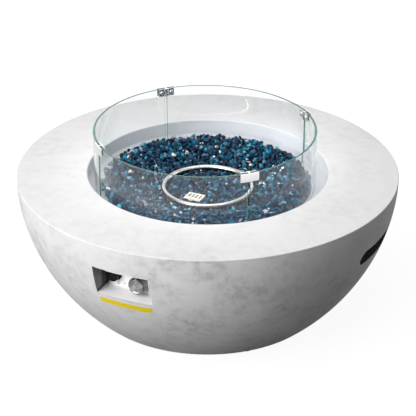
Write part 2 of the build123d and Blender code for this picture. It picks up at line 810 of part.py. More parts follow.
# ---------------------------------------------------------------- control recess
def lip_stud_places():
    """Where the panel's four studs are: x and z from the recess's middle."""
    x = recess_width / 2 - seat_gap - liner_sheet - stud_inset
    z = recess_height / 2 - seat_gap - liner_sheet - stud_inset
    return [(sx * x, recess_middle_z + sz * z) for sx in (-1, 1) for sz in (-1, 1)]


def control_box():
    """The steel liner of the recess: an open box, trimmed to the bowl's face, with a lip at its back."""
    back = panel_back_y + liner_sheet
    inner = seat_gap + liner_sheet
    box = recess_block(seat_gap, -bowl_radius, back)
    box -= recess_block(inner, -bowl_radius, panel_back_y)
    box -= recess_block(inner + liner_lip, panel_back_y - 1, back + 1)
    for x, z in lip_stud_places():
        box -= rod_y(stud_radius + screw_fit, panel_back_y - 1, back + 1, x, z)
    return box & bowl_outline(liner_flush)


def control_panel():
    """The plate at the back of the recess, with weld studs behind it."""
    inner = seat_gap + liner_sheet + seat_gap
    plate = recess_block(inner, panel_y, panel_back_y)
    plate -= rod_y(stem_radius + stem_hole_gap, panel_y - 1, panel_back_y + 1, knob_x, knob_z)
    plate -= rod_y(igniter_tube_radius + seat_gap, panel_y - 1, panel_back_y + 1, igniter_x, igniter_z)
    for side in (-1, 1):
        x = knob_x + side * valve_screw_spacing / 2
        plate -= rod_y(small_screw_radius + screw_fit, panel_y - 1, panel_back_y + 1, x, knob_z)
    for x, z in lip_stud_places():
        plate += rod_y(stud_radius, panel_back_y, panel_back_y + stud_length, x, z)
    return plate


def panel_nuts():
    """Nuts on the panel's studs, behind the liner's lip."""
    face = panel_back_y + liner_sheet
    return group([hexagon_y(stud_nut_flats, face, face + stud_nut_height, stud_radius + slip_fit, x, z)
                  for x, z in lip_stud_places()])


def valve_body():
    """The cast gas valve: mounting flange, plug housing, gas inlet below and outlets behind."""
    flange_back = panel_back_y + valve_flange_thickness
    flange = Pos(knob_x, panel_back_y, knob_z) * Rot(-90, 0, 0) * extrude(
        RectangleRounded(valve_flange, valve_flange, valve_flange_corner), valve_flange_thickness)
    body_end = flange_back + valve_length
    chamber_end = flange_back + valve_chamber_length
    body = flange + rod_y(valve_radius, flange_back, body_end, knob_x, knob_z)
    body += rod_y(valve_radius - valve_cap_step, body_end, body_end + valve_cap, knob_x, knob_z)
    body += rod_y(outlet_radius, body_end, valve_end_y, knob_x, knob_z)
    body += rod(inlet_boss_radius, inlet_z, knob_z, knob_x, inlet_y)
    for side in (-1, 1):
        port_x = knob_x + side * valve_port_offset
        body += rod_y(valve_port_radius, body_end - valve_port_root, port_y, port_x, valve_port_z)
    body -= rod_y(valve_chamber_radius, flange_back, chamber_end, knob_x, knob_z)
    body -= rod_y(stem_radius + slip_fit, panel_back_y - 1, chamber_end + stem_guide, knob_x, knob_z)
    for side in (-1, 1):
        screw_x = knob_x + side * valve_screw_spacing / 2
        body -= rod_y(small_screw_radius + screw_fit, panel_back_y - 1, flange_back, screw_x, knob_z)
    return body


def valve_screws():
    """Two screws under the knob that hold the valve to the panel."""
    screws = []
    for side in (-1, 1):
        x = knob_x + side * valve_screw_spacing / 2
        screws.append(rod_y(small_screw_radius, panel_y, panel_back_y + valve_flange_thickness, x, knob_z)
                      + rod_y(small_screw_head_radius, panel_y - small_screw_head, panel_y, x, knob_z))
    return group(screws)


def valve_stem():
    """The valve's stem, with a flat for the knob and a collar that pushes the washer."""
    flange_back = panel_back_y + valve_flange_thickness
    collar_front = flange_back + seat_gap
    knob_back = panel_y - knob_gap
    front = knob_back - knob_bore_depth + stem_clearance
    back = flange_back + valve_chamber_length + stem_guide - knob_push - stem_runout
    stem = rod_y(stem_radius, front, back, knob_x, knob_z)
    stem += rod_y(stem_collar_radius, collar_front, collar_front + stem_collar, knob_x, knob_z)
    flat_z = knob_z + stem_radius - stem_flat
    return stem - block(knob_x - stem_radius, knob_x + stem_radius, front - 1, knob_back,
                        flat_z, knob_z + stem_radius + 1)


def spring_seat():
    """The washer between the stem's collar and the return spring. It slides and doesn't turn."""
    front = panel_back_y + valve_flange_thickness + seat_gap + stem_collar
    washer = rod_y(valve_chamber_radius - seat_gap, front, front + spring_washer, knob_x, knob_z)
    return washer - rod_y(stem_radius + slip_fit, front - 1, front + spring_washer + 1, knob_x, knob_z)


def coil(radius, front, back, x, z):
    """A compression spring along Y, as a square wire on a helix."""
    height = back - front - spring_wire
    path = Helix(pitch=height / spring_turns, height=height, radius=radius)
    section = Plane(origin=path @ 0, z_dir=path % 0) * Rectangle(spring_wire, spring_wire)
    wire = sweep(section, path=path, is_frenet=True)
    return Pos(x, front + spring_wire / 2, z) * Rot(-90, 0, 0) * wire


def valve_spring():
    """The spring that brings the knob out again."""
    flange_back = panel_back_y + valve_flange_thickness
    front = flange_back + seat_gap + stem_collar + spring_washer + spring_gap
    back = flange_back + valve_chamber_length - spring_gap
    return coil(valve_spring_radius, front, back, knob_x, knob_z)


def control_knob():
    """The metal control knob: a tapered barrel with a flared base, a rounded front and a pointer groove."""
    front_r = knob_radius - knob_taper
    land_r = front_r - knob_nose_width
    dish_r = land_r - knob_land
    dish_z = knob_length - knob_dish
    knob = turned([
        (0, 0), (knob_base_radius, 0), (knob_base_radius, knob_skirt),
        (knob_radius, knob_skirt + knob_flare),
        (front_r, knob_length - knob_nose), (land_r, knob_length), (dish_r, knob_length),
        (dish_r - knob_dish_width, dish_z), (0, dish_z),
    ])
    knob -= turned([
        (knob_hub_radius, -1), (knob_base_radius - knob_wall, -1),
        (front_r - knob_wall, knob_hollow), (knob_hub_radius, knob_hollow),
    ])
    knob -= rod(stem_radius + slip_fit, 0, knob_bore_depth)
    flat = stem_radius + slip_fit - stem_flat
    knob += block(-stem_radius, stem_radius, flat, stem_radius + 1, 1, knob_bore_depth)
    knob -= block(-pointer_width / 2, pointer_width / 2, knob_radius - pointer_length, knob_radius + 1,
                  knob_length - pointer_depth, knob_length + 1)
    return Pos(knob_x, panel_y - knob_gap, knob_z) * Rot(90, 0, 0) * knob


def inlet_fitting():
    """The brass gas inlet: a hexagon and a 3/8 inch flare thread that points down."""
    hex_z = inlet_z - inlet_hex_height
    end_z = hex_z - flare_length
    fitting = hexagon(inlet_hex_flats, hex_z, inlet_z, flare_bore, knob_x, inlet_y)
    thread = rod(flare_radius, end_z, hex_z, knob_x, inlet_y)
    thread -= rod(flare_bore, end_z, hex_z, knob_x, inlet_y)
    return fitting + thread


# ---------------------------------------------------------------- igniter
def igniter_housing():
    """The igniter's moulded tube: bezel, button bore, battery bore and closed end."""
    face = panel_y - igniter_bezel
    step = face + igniter_chamber
    tube = rod_y(igniter_bezel_radius, face, panel_y, igniter_x, igniter_z)
    tube = fillet(tube.edges().filter_by(GeomType.CIRCLE).sort_by(Axis.Y)[0], igniter_bezel_round)
    tube += rod_y(igniter_tube_radius, panel_y, igniter_end_y, igniter_x, igniter_z)
    tube -= rod_y(igniter_neck_radius + slip_fit, face, step, igniter_x, igniter_z)
    battery_end = step + battery_length + battery_room
    return tube - rod_y(battery_radius + battery_fit, step, battery_end, igniter_x, igniter_z)


def igniter_nut():
    """The plastic nut that clamps the igniter to the panel."""
    return hexagon_y(igniter_nut_flats, panel_back_y, panel_back_y + igniter_nut_height,
                     igniter_tube_radius + screw_fit, igniter_x, igniter_z)


def igniter_button():
    """The push button: a domed cap on a neck that slides in the housing."""
    back = igniter_cap_back_y
    cap = rod_y(igniter_cap_radius, back - igniter_cap, back, igniter_x, igniter_z)
    cap = fillet(cap.edges().filter_by(GeomType.CIRCLE).sort_by(Axis.Y)[0], igniter_cap_round)
    return cap + rod_y(igniter_neck_radius, back, back + igniter_neck, igniter_x, igniter_z)


def igniter_spring():
    """The spring between the button's neck and the battery's shoulder."""
    front = igniter_cap_back_y + igniter_neck + spring_gap
    back = panel_y - igniter_bezel + igniter_chamber - spring_gap
    return coil(igniter_spring_radius, front, back, igniter_x, igniter_z)


def battery_cell():
    """One AA cell in the igniter's bore."""
    step = panel_y - igniter_bezel + igniter_chamber
    shoulder = step + battery_nub
    cell = rod_y(battery_radius, shoulder, step + battery_length + battery_room, igniter_x, igniter_z)
    return cell + rod_y(battery_nub_radius, step, shoulder, igniter_x, igniter_z)


def igniter_terminals():
    """Two brass blades at the igniter's end."""
    half = terminal_width / 2
    blades = []
    for side in (-1, 1):
        x = igniter_x + side * terminal_spacing / 2 - terminal_thickness / 2
        blades.append(block(x, x + terminal_thickness, igniter_end_y, igniter_end_y + terminal_length,
                            igniter_z - half, igniter_z + half))
    return group(blades)


# ---------------------------------------------------------------- behind the panel
def shield_y():
    """The heat shield's plate, under the middle of the pan's seat."""
    return -(hole_radius - seat_width / 2 + shield_set_out)


def heat_shield():
    """The bent plate that keeps the pan's heat off the valve, screwed under the seat."""
    y = shield_y()
    half = shield_width / 2
    plate = block(-half, half, y, y + sheet, seat_under_z - shield_drop, seat_under_z)
    flange = block(-half, half, y, y + shield_flange, seat_under_z - sheet, seat_under_z)
    shield = plate + flange
    for side in (-1, 1):
        shield -= rod(small_screw_radius + screw_fit, seat_under_z - 5, seat_under_z + 1,
                      side * shield_screw_spacing / 2, y + shield_flange / 2)
    return shield


def shield_screws():
    """Screws that hold the heat shield to the concrete."""
    y = shield_y() + shield_flange / 2
    under = seat_under_z - sheet
    screws = []
    for side in (-1, 1):
        x = side * shield_screw_spacing / 2
        screws.append(rod(small_screw_radius, under, seat_under_z, x, y)
                      + rod(small_screw_head_radius, under - small_screw_head, under, x, y))
    return group(screws)


def flex_line_points():
    """Route of the corrugated gas line from the valve to the elbow."""
    y0 = valve_end_y
    y1 = -elbow_reach
    z0 = knob_z
    z1 = elbow_arm_z
    return [
        (knob_x, y0, z0), (knob_x, y0 + 43, z0), (knob_x - 2, y0 + 93, z0 - 10),
        (knob_x - 5, y0 + 151, z1 + 25), (knob_x - 10, y0 + 208, z1 + 10), (7, y1 - 93, z1 + 2.5),
        (0, y1 - 42, z1), (0, y1, z1),
    ]


def gas_flex_line():
    """The corrugated stainless gas line."""
    return tube_along(flex_line_points(), flex_radius, "gas_flex_line")


def flex_line_nuts():
    """The union nut at each end of the gas line."""
    bore = flex_radius + screw_fit
    return group([
        hexagon_y(flex_nut_flats, valve_end_y, valve_end_y + flex_nut_height, bore, knob_x, knob_z),
        hexagon_y(flex_nut_flats, -elbow_reach - flex_nut_height, -elbow_reach, bore, 0, elbow_arm_z),
    ])


def pilot_tube():
    """The thin aluminium tube from the valve to the pilot's jet."""
    y0 = port_y
    z0 = valve_port_z
    z1 = pilot_tail_z
    x0 = knob_x - valve_port_offset
    x1 = nozzle_x
    return tube_along([
        (x0, y0, z0), (x0, y0 + 40, z0), (x0 - 2, y0 + 90, z0 - 11),
        (x0 - 6, y0 + 145, z0 - 19), (x0 - 11, y0 + 200, z0 - 22), (x1 + 6, pilot_y - 66, z1 - 52),
        (x1 + 3, pilot_y - 32, z1 - 46), (x1 + 1, pilot_y - 10, z1 - 34), (x1, pilot_y, z1 - 18),
        (x1, pilot_y, z1),
    ], pilot_tube_radius, "pilot_tube")


def thermocouple_lead():
    """The copper lead from the flame sensor to the valve's magnet."""
    y0 = port_y
    z0 = valve_port_z
    z1 = pilot_tail_z
    x0 = knob_x + valve_port_offset
    x1 = probe_x
    return tube_along([
        (x0, y0, z0), (x0, y0 + 40, z0), (x0 - 2, y0 + 88, z0 - 9),
        (x0 - 5, y0 + 143, z0 - 15), (x0 - 10, y0 + 197, z0 - 17), (x1 + 9, pilot_y - 67, z1 - 50),
        (x1 + 4, pilot_y - 31, z1 - 40), (x1, pilot_y, z1 - 22), (x1, pilot_y, z1),
    ], lead_radius, "thermocouple_lead")


def igniter_wire():
    """The insulated wire from the igniter to the spark electrode."""
    y0 = igniter_end_y + terminal_length
    z0 = igniter_z
    z1 = pilot_tail_z
    x0 = igniter_x + terminal_spacing / 2
    x1 = electrode_x
    return tube_along([
        (x0, y0, z0), (x0, y0 + 34, z0), (x0 + 2, y0 + 78, z0 - 12),
        (x0 + 6, y0 + 130, z0 - 24), (x1 - 17, pilot_y - 113, z1 - 46), (x1 - 9, pilot_y - 68, z1 - 46),
        (x1 - 4, pilot_y - 30, z1 - 38), (x1, pilot_y, z1 - 21), (x1, pilot_y, z1),
    ], lead_radius, "igniter_wire")


# ---------------------------------------------------------------- write the pieces
os.makedirs("parts", exist_ok=True)

pieces = {
    "bowl_shell": bowl_shell(),
    "foot_pads": foot_pads(),
    "burner_pan": burner_pan(),
    "fire_glass_bed": fire_glass_bed(),
    "burner_ring": burner_ring(),
    "burner_feed": burner_feed(),
    "burner_nipple": burner_nipple(),
    "burner_locknuts": burner_locknuts(),
    "burner_legs": burner_legs(),
    "burner_screws": burner_screws(),
    "air_mixer": air_mixer(),
    "orifice_spud": orifice_spud(),
    "gas_elbow": gas_elbow(),
    "gas_flex_line": gas_flex_line(),
    "flex_line_nuts": flex_line_nuts(),
    "pilot_bracket": pilot_bracket(),
    "pilot_nozzle": pilot_nozzle(),
    "thermocouple": thermocouple(),
    "electrode_insulator": electrode_insulator(),
    "electrode_wire": electrode_wire(),
    "pilot_cage": pilot_cage(),
    "pilot_screws": pilot_screws(),
    "pilot_tube": pilot_tube(),
    "thermocouple_lead": thermocouple_lead(),
    "igniter_wire": igniter_wire(),
    "heat_shield": heat_shield(),
    "shield_screws": shield_screws(),
    "control_box": control_box(),
    "control_panel": control_panel(),
    "panel_nuts": panel_nuts(),
    "valve_body": valve_body(),
    "valve_screws": valve_screws(),
    "valve_stem": valve_stem(),
    "spring_seat": spring_seat(),
    "valve_spring": valve_spring(),
    "control_knob": control_knob(),
    "inlet_fitting": inlet_fitting(),
    "igniter_housing": igniter_housing(),
    "igniter_nut": igniter_nut(),
    "igniter_button": igniter_button(),
    "igniter_spring": igniter_spring(),
    "battery_cell": battery_cell(),
    "igniter_terminals": igniter_terminals(),
    "clip_pads": clip_pads(),
    "clip_screws": clip_screws(),
}
for number in range(panel_count):
    pieces[f"glass_panel_{number + 1}"] = glass_panel(number)
    pieces[f"guard_clip_{number + 1}"] = clip_body(number)

for name, piece in pieces.items():
    export_step(piece, f"parts/{name}.step")
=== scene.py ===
# %% [markdown]
# # A concrete gas fire bowl
# The bowl stands on the ground, a steel pan hangs in its opening, and four curved glass panels keep the
# wind off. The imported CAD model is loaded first: it fixes every size and place, and the rest of this file
# gives it its looks.

# %% Load the frame
import math
import bpy
import numpy as np
from mathutils import Matrix, Vector


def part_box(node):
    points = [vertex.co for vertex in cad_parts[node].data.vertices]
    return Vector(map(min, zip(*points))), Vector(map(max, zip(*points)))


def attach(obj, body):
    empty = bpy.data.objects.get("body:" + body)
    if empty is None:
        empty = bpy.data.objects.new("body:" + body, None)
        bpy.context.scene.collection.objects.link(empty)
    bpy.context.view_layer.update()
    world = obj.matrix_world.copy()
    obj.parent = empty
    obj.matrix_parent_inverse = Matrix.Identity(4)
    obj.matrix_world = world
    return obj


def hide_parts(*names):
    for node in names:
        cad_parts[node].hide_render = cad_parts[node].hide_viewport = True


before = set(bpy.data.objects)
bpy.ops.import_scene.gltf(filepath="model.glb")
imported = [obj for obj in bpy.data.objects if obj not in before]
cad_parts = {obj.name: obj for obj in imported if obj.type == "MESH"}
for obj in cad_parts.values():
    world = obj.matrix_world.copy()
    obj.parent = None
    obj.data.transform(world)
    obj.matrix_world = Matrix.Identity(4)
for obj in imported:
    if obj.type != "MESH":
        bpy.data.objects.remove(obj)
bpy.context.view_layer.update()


def short(values):
    """Numbers cut to four decimals, for printing."""
    return [round(float(value), 4) for value in values]


# %% [markdown]
# ## Places that come from the CAD pieces
# A finish or a new piece often has to meet a CAD piece. Its place is read from that piece's box where the
# box tells it, and is a named size in metres otherwise. The meshes of the frame are made of flat facets,
# so a box can be a few hundredths of a millimetre small, and rounding to a tenth gives back the drawn
# size.

# %% Measure the CAD pieces
def box_of(node):
    """Lowest corner, highest corner and middle of a CAD piece's box, in metres."""
    low, high = (np.array(corner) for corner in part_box(node))
    return [np.round(point, 4).tolist() for point in (low, high, (low + high) / 2)]


bowl_low, bowl_high = box_of("bowl_shell")[:2]
rim_radius, rim_top, base_low = bowl_high[0], bowl_high[2], bowl_low[2]
knob_front, knob_middle = box_of("control_knob")[0][1], box_of("control_knob")[2]
panel_front = box_of("control_panel")[0][1]
print("rim radius", rim_radius, "rim top", rim_top, "knob", knob_middle, "panel front", panel_front)

# %% [markdown]
# ## The camera
# The bowl is seen from a little above and from the right of its control recess, with a long lens, which
# keeps the rim's ellipse flat. The camera is placed by a turn, a rise and a distance from the point that
# it looks at.

# %% Place the camera
view_turn = math.radians(25.7)
view_rise = math.radians(27.06)
view_distance = 4.697
view_shift = 0.0011
view_height = 0.2847
view_lens = 141.5


def outward(turn, rise):
    """The unit vector away from the bowl at a turn round it and a rise over the ground:
    (sin turn cos rise, -cos turn cos rise, sin rise)."""
    return Vector((math.sin(turn) * math.cos(rise), -math.cos(turn) * math.cos(rise), math.sin(rise)))


view_right = Vector((math.cos(view_turn), math.sin(view_turn), 0))
view_back = outward(view_turn, view_rise)
view_up = view_back.cross(view_right)
aim = view_right * view_shift + Vector((0, 0, view_height))

lens = bpy.data.cameras.new("bowl_view")
lens.lens = view_lens
lens.sensor_width = 36
camera = bpy.data.objects.new("bowl_view", lens)
camera.matrix_world = (Matrix.Translation(aim + view_back * view_distance)
                       @ Matrix((view_right, view_up, view_back)).transposed().to_4x4())
bpy.context.scene.collection.objects.link(camera)
bpy.context.scene.camera = camera
bpy.context.scene.view_settings.view_transform = "Standard"
print("camera at", short(camera.matrix_world.translation))

# %% [markdown]
# ## Helpers for finishes
# A finish is a small network of shader nodes. Written out node by node it is long and hard to read, so a
# few helpers do the wiring: each adds one node, fills its inputs and gives back what comes out of it.

# %% Helpers that wire nodes
def paint(red, green, blue):
    """A colour read off a screen, 0 to 255, as the linear value that Blender mixes: the display curve is
    undone."""
    value = np.array([red, green, blue]) / 255
    linear = np.where(value <= 0.04045, value / 12.92, ((value + 0.055) / 1.055) ** 2.4)
    return (*linear.tolist(), 1.0)


def wire(tree, kind, inputs=None, **settings):
    """Adds a shader node. An input that is a socket gets linked, and anything else becomes the input's
    value."""
    made = tree.nodes.new("ShaderNode" + kind)
    for name, value in settings.items():
        setattr(made, name, value)
    for key, value in (inputs or {}).items():
        if isinstance(value, bpy.types.NodeSocket):
            tree.links.new(value, made.inputs[key])
        else:
            made.inputs[key].default_value = value
    return made


print("a grey of 128 on a screen is", short(paint(128, 128, 128))[0])

# %% [markdown]
# Each finish is a material with one shader, and patterns are placed by the coordinates of the object. What
# stays the same all over is set on the shader's own sockets, and what changes over the surface is linked
# to them.

# %% Helpers that start a finish
finishes = {}


def new_finish(name, constants):
    """A material whose shader has its constant values set on its own sockets."""
    made = bpy.data.materials.new(name)
    made.use_nodes = True
    shader = made.node_tree.nodes["Principled BSDF"]
    for socket, value in constants.items():
        shader.inputs[socket].default_value = value
    finishes[name] = made
    return made.node_tree, shader, wire(made.node_tree, "TexCoord").outputs["Object"]


def feed(tree, shader, **sockets):
    """Links outputs to the shader's sockets; an underscore in a name stands for a space."""
    for name, output in sockets.items():
        tree.links.new(output, shader.inputs[name.replace("_", " ")])


def colour_so_far(shader):
    """What feeds the shader's colour now, so that it can be mixed further."""
    return shader.inputs["Base Color"].links[0].from_socket


print("made", [helper.__name__ for helper in (new_finish, feed, colour_so_far)])

# %% [markdown]
# Masks and patterns are numbers that change over the surface, and most of the work is arithmetic with
# them. Masks that must all hold are multiplied, and of masks where one is enough the largest is taken.

# %% Helpers for arithmetic
def number(tree, operation, first, second=0.0):
    """One step of arithmetic between two numbers or sockets."""
    return wire(tree, "Math", {0: first, 1: second}, operation=operation).outputs[0]


def product(tree, *factors):
    """Numbers or sockets multiplied in a row."""
    result = factors[0]
    for factor in factors[1:]:
        result = number(tree, "MULTIPLY", result, factor)
    return result


def any_of(tree, *masks):
    """The largest of several masks."""
    result = masks[0]
    for mask in masks[1:]:
        result = number(tree, "MAXIMUM", result, mask)
    return result


def spread(tree, value, low, high, start=0.0, end=1.0):
    """Stretches the range low to high over start to end, and holds what lies outside it at the ends."""
    return wire(tree, "MapRange", {0: value, 1: low, 2: high, 3: start, 4: end}).outputs[0]


def stays_within(tree, value, middle, half):
    """1 where a value is at most half away from a middle."""
    return number(tree, "LESS_THAN", number(tree, "ABSOLUTE", number(tree, "SUBTRACT", value, middle)), half)


def blended(tree, mask, first, second):
    """Two colours mixed by a mask."""
    return wire(tree, "Mix", {0: mask, 6: first, 7: second}, data_type="RGBA").outputs[2]


def bump(tree, height, distance):
    """Turns a height pattern into tilted normals; distance is the real depth of the relief in metres."""
    return wire(tree, "Bump", {"Height": height, "Distance": distance}).outputs[0]


print("made", [helper.__name__ for helper in (number, product, any_of, spread, stays_within, blended, bump)])

# %% [markdown]
# Where something lies on a piece is a vector. These helpers take it apart, stretch it and measure it.

# %% Helpers for places
def axes(tree, vector):
    """The three numbers of a vector."""
    return tuple(wire(tree, "SeparateXYZ", {0: vector}).outputs)


def vector_of(tree, first, second, third=0.0):
    """A vector made of numbers or sockets."""
    return wire(tree, "CombineXYZ", {0: first, 1: second, 2: third}).outputs[0]


def length(tree, vector):
    """How long a vector is."""
    return wire(tree, "VectorMath", {0: vector}, operation="LENGTH").outputs["Value"]


def scaled(tree, vector, x, y, z):
    """Coordinates multiplied along each axis: a large number makes the pattern fine along it."""
    return wire(tree, "VectorMath", {0: vector, 1: (x, y, z)}, operation="MULTIPLY").outputs[0]


print("made", [helper.__name__ for helper in (axes, vector_of, length, scaled)])

# %% [markdown]
# ## Effects that several finishes share
# Clouds, pits and tool lines are met on concrete, rubber, steel and brass alike. Each is built once as a
# node group with named inputs and is placed in a material with that material's own sizes. The groups give
# out tones only; the shader that uses them stays in the material.

# %% Clouds
def new_effect(name, numbers):
    """An empty node group with a Vector input, some number inputs and one Tone output."""
    tree = bpy.data.node_groups.new(name, "ShaderNodeTree")
    tree.interface.new_socket("Vector", in_out="INPUT", socket_type="NodeSocketVector")
    for label, value in numbers.items():
        tree.interface.new_socket(label, in_out="INPUT", socket_type="NodeSocketFloat").default_value = value
    tree.interface.new_socket("Tone", in_out="OUTPUT", socket_type="NodeSocketFloat")
    return tree, tree.nodes.new("NodeGroupInput").outputs, tree.nodes.new("NodeGroupOutput").inputs


def effect(tree, group, vector, **numbers):
    """Places a node group in a material and gives back its tone."""
    inputs = {"Vector": vector} | {name.capitalize(): value for name, value in numbers.items()}
    return wire(tree, "Group", inputs, node_tree=group).outputs["Tone"]


clouds, given, result = new_effect("clouds", {"Scale": 5.0, "Detail": 5.0})
noise = wire(clouds, "TexNoise", {"Vector": given["Vector"], "Scale": given["Scale"],
                                  "Detail": given["Detail"], "Roughness": 0.58})
clouds.links.new(spread(clouds, noise.outputs[0], 0.3, 0.7), result["Tone"])
print("clouds have", len(clouds.nodes), "nodes")

# %% [markdown]
# Pits are the small round holes that air bubbles leave. Space is cut into cells, each with a random
# number. Only a cell whose number is high gets a hole, and the hole is the wider the higher the number is.

# %% Pits
pits, given, result = new_effect("pits", {"Scale": 100.0, "Size": 0.15})
cells = wire(pits, "TexVoronoi", {"Vector": given["Vector"], "Scale": given["Scale"]})
chance = wire(pits, "SeparateColor", {0: cells.outputs["Color"]}).outputs[0]
hole = product(pits, given["Size"], spread(pits, chance, 0.72, 1.0))
depth = number(pits, "SUBTRACT", hole, cells.outputs["Distance"])
pits.links.new(spread(pits, depth, -0.02, 0.05), result["Tone"])
print("pits have", len(pits.nodes), "nodes")

# %% [markdown]
# A lathe leaves fine rings round the piece's axis. The noise is read at the distance from the axis and the
# height, both multiplied by a large scale, and at the direction round the axis, which changes it only
# slowly.

# %% Turned lines
turned_lines, given, result = new_effect("turned_lines", {"Scale": 900.0})
x, y, z = axes(turned_lines, given["Vector"])
flat = vector_of(turned_lines, x, y)
round_way = wire(turned_lines, "VectorMath", {0: flat}, operation="NORMALIZE").outputs[0]
out = length(turned_lines, flat)
across = vector_of(turned_lines, product(turned_lines, out, given["Scale"]),
                   product(turned_lines, z, given["Scale"]))
along = scaled(turned_lines, round_way, 2.5, 2.5, 2.5)
lined = wire(turned_lines, "VectorMath", {0: across, 1: along}, operation="ADD").outputs[0]
noise = wire(turned_lines, "TexNoise", {"Vector": lined, "Scale": 1.0, "Detail": 2.0})
turned_lines.links.new(spread(turned_lines, noise.outputs[0], 0.3, 0.7), result["Tone"])
print("turned lines have", len(turned_lines.nodes), "nodes")

# %% [markdown]
# ## The wall's curve
# The bowl's wall follows one Bezier curve from the rim to the base. Both the concrete's finish and the
# strip under the recess need to know where the wall is, so its radius at any level is worked out first.
# The rim's end of the curve is upright and the base's end has a slope, and each end pulls the curve along
# its own direction.

# %% Radius of the wall
rim_low = rim_top - 0.002
rim_pull = 0.1034
base_radius = 0.340
base_pull = 0.2026
base_slope = math.radians(41.2)


def wall_radius(level):
    """Radius of the bowl's face at a level. The wall is one cubic Bezier curve, with t from 0 at the rim to 1
    at the base; its points are worked out and the radius is read between them."""
    t = np.linspace(0, 1, 400)[:, None]
    rim = np.array([rim_radius, rim_low])
    base = np.array([base_radius, base_low])
    under_rim = rim - np.array([0, rim_pull])
    over_base = base + base_pull * np.array([math.cos(base_slope), math.sin(base_slope)])
    curve = ((1 - t) ** 3 * rim + 3 * (1 - t) ** 2 * t * under_rim
             + 3 * (1 - t) * t ** 2 * over_base + t ** 3 * base)
    return np.interp(level, curve[::-1, 1], curve[::-1, 0])


levels = np.linspace(base_low, rim_low, 80)
wall_terms = np.polyfit(levels, wall_radius(levels), 5)
fit_error = np.abs(np.polyval(wall_terms, levels) - wall_radius(levels)).max()
print("a polynomial of five powers is off the wall by at most", round(float(fit_error), 5))

# %% [markdown]
# ## Concrete
# The bowl is cast: the mould leaves grey clouds and smears, strong on the wall and faint on the rim's flat
# top. Over them lie faint level marks of the pour, fine sand and a few pinholes. All of it is placed by
# the bowl's own coordinates, so the same patch stays on the same spot from every side. The patterns come
# first.

# %% The concrete's patterns
tree, shader, place = new_finish("concrete", {"Specular IOR Level": 0.25})
x, y, z = axes(tree, place)
broad = effect(tree, clouds, place, scale=2.6, detail=6.0)
middle = effect(tree, clouds, place, scale=9.0, detail=10.0)
fine = effect(tree, clouds, place, scale=36.0, detail=10.0)
grain = effect(tree, clouds, place, scale=130.0, detail=6.0)
sand = effect(tree, clouds, place, scale=300.0, detail=2.0)
pour = effect(tree, clouds, scaled(tree, place, 1, 1, 24), scale=5.0, detail=8.0)
holes = effect(tree, pits, place, scale=48.0, size=0.10)
veins = product(tree, spread(tree, fine, 0.2, 0.95), spread(tree, middle, 0.2, 0.9))

patch = product(tree, spread(tree, broad, 0.25, 0.80), spread(tree, middle, 0.25, 0.85))
smudge = product(tree, spread(tree, fine, 0.35, 0.85), spread(tree, grain, 0.1, 0.8, 0.35, 1.0))
patch = number(tree, "ADD", product(tree, patch, 0.30), product(tree, patch, smudge))
wall = spread(tree, z, rim_top - 0.001, rim_top - 0.006)
cloudy = product(tree, patch, spread(tree, wall, 0.0, 1.0, 0.14, 0.56))
print("concrete patterns", len(tree.nodes), "nodes")

# %% [markdown]
# The colours are laid over each other like thin washes. Each wash has a mask, the mask's range, how much
# of it shows at most, and a grey. The wall also gets darker towards its foot.

# %% The concrete's colours
pale_concrete = (0.735, 0.735, 0.732, 1)
cloud_grey = (0.285, 0.285, 0.288, 1)
washes = [(veins, 0.0, 0.8, 0.20, (0.50, 0.50, 0.505, 1)),
          (pour, 0.3, 1.0, 0.08, (0.53, 0.53, 0.53, 1)),
          (z, 0.24, 0.03, 0.50, (0.40, 0.40, 0.405, 1)),
          (sand, 0.0, 1.0, 0.10, (0.48, 0.48, 0.48, 1)),
          (holes, 0.0, 1.0, 0.35, (0.33, 0.33, 0.33, 1))]

tone = blended(tree, cloudy, pale_concrete, cloud_grey)
for mask, low, high, share, grey in washes:
    tone = blended(tree, spread(tree, mask, low, high, 0.0, share), tone, grey)
relief = number(tree, "SUBTRACT", product(tree, sand, 0.35), holes)
relief = number(tree, "ADD", relief, product(tree, fine, 0.8))
feed(tree, shader, Base_Color=tone, Roughness=spread(tree, middle, 0.0, 1.0, 0.72, 0.9),
     Normal=bump(tree, relief, 0.0005))
print("concrete washes", len(washes))

# %% [markdown]
# The hidden inside and the cut edges of the hand slots are raw concrete, painted near black as painted shade
# for the dark inside of the bowl. The inside is what lies deeper than the wall's face; the face's radius is
# the polynomial of the level. A hand slot is a long hole with round ends: its edge is everywhere the same
# distance from a short level line.

# %% The concrete's painted shade inside
slot_half = 0.0875
slot_level = 0.2895
slot_radius = 0.0227
inside_shade_grey = (0.05, 0.05, 0.052, 1)

face = wall_terms[0].item()
for term in wall_terms[1:]:
    face = number(tree, "ADD", product(tree, z, face), term.item())
under_face = number(tree, "SUBTRACT", face, length(tree, vector_of(tree, x, y)))
inside = product(tree, spread(tree, under_face, 0.010, 0.014),
                 spread(tree, z, rim_top - 0.008, rim_top - 0.012))
past_end = any_of(tree, number(tree, "SUBTRACT", number(tree, "ABSOLUTE", y), slot_half), 0.0)
from_slot = length(tree, vector_of(tree, past_end, number(tree, "SUBTRACT", z, slot_level)))
# painted shade: the bowl's inside and the hand slots' cut edges are painted near black
inside_shade = any_of(tree, inside, number(tree, "LESS_THAN", from_slot, slot_radius))
feed(tree, shader, Base_Color=blended(tree, inside_shade, tone, inside_shade_grey))
print("concrete", len(tree.nodes), "nodes")

# %% [markdown]
# ## Bare metals
# Most of the metal here is sheet or turned stock, so it shows the lines of its brushing or turning: a
# noise squeezed hard across the lines and left long along them. The lines go into the roughness and the
# relief, and only a little into the colour. A round piece has its lines round the bowl's axis, a straight
# one along a chosen direction.

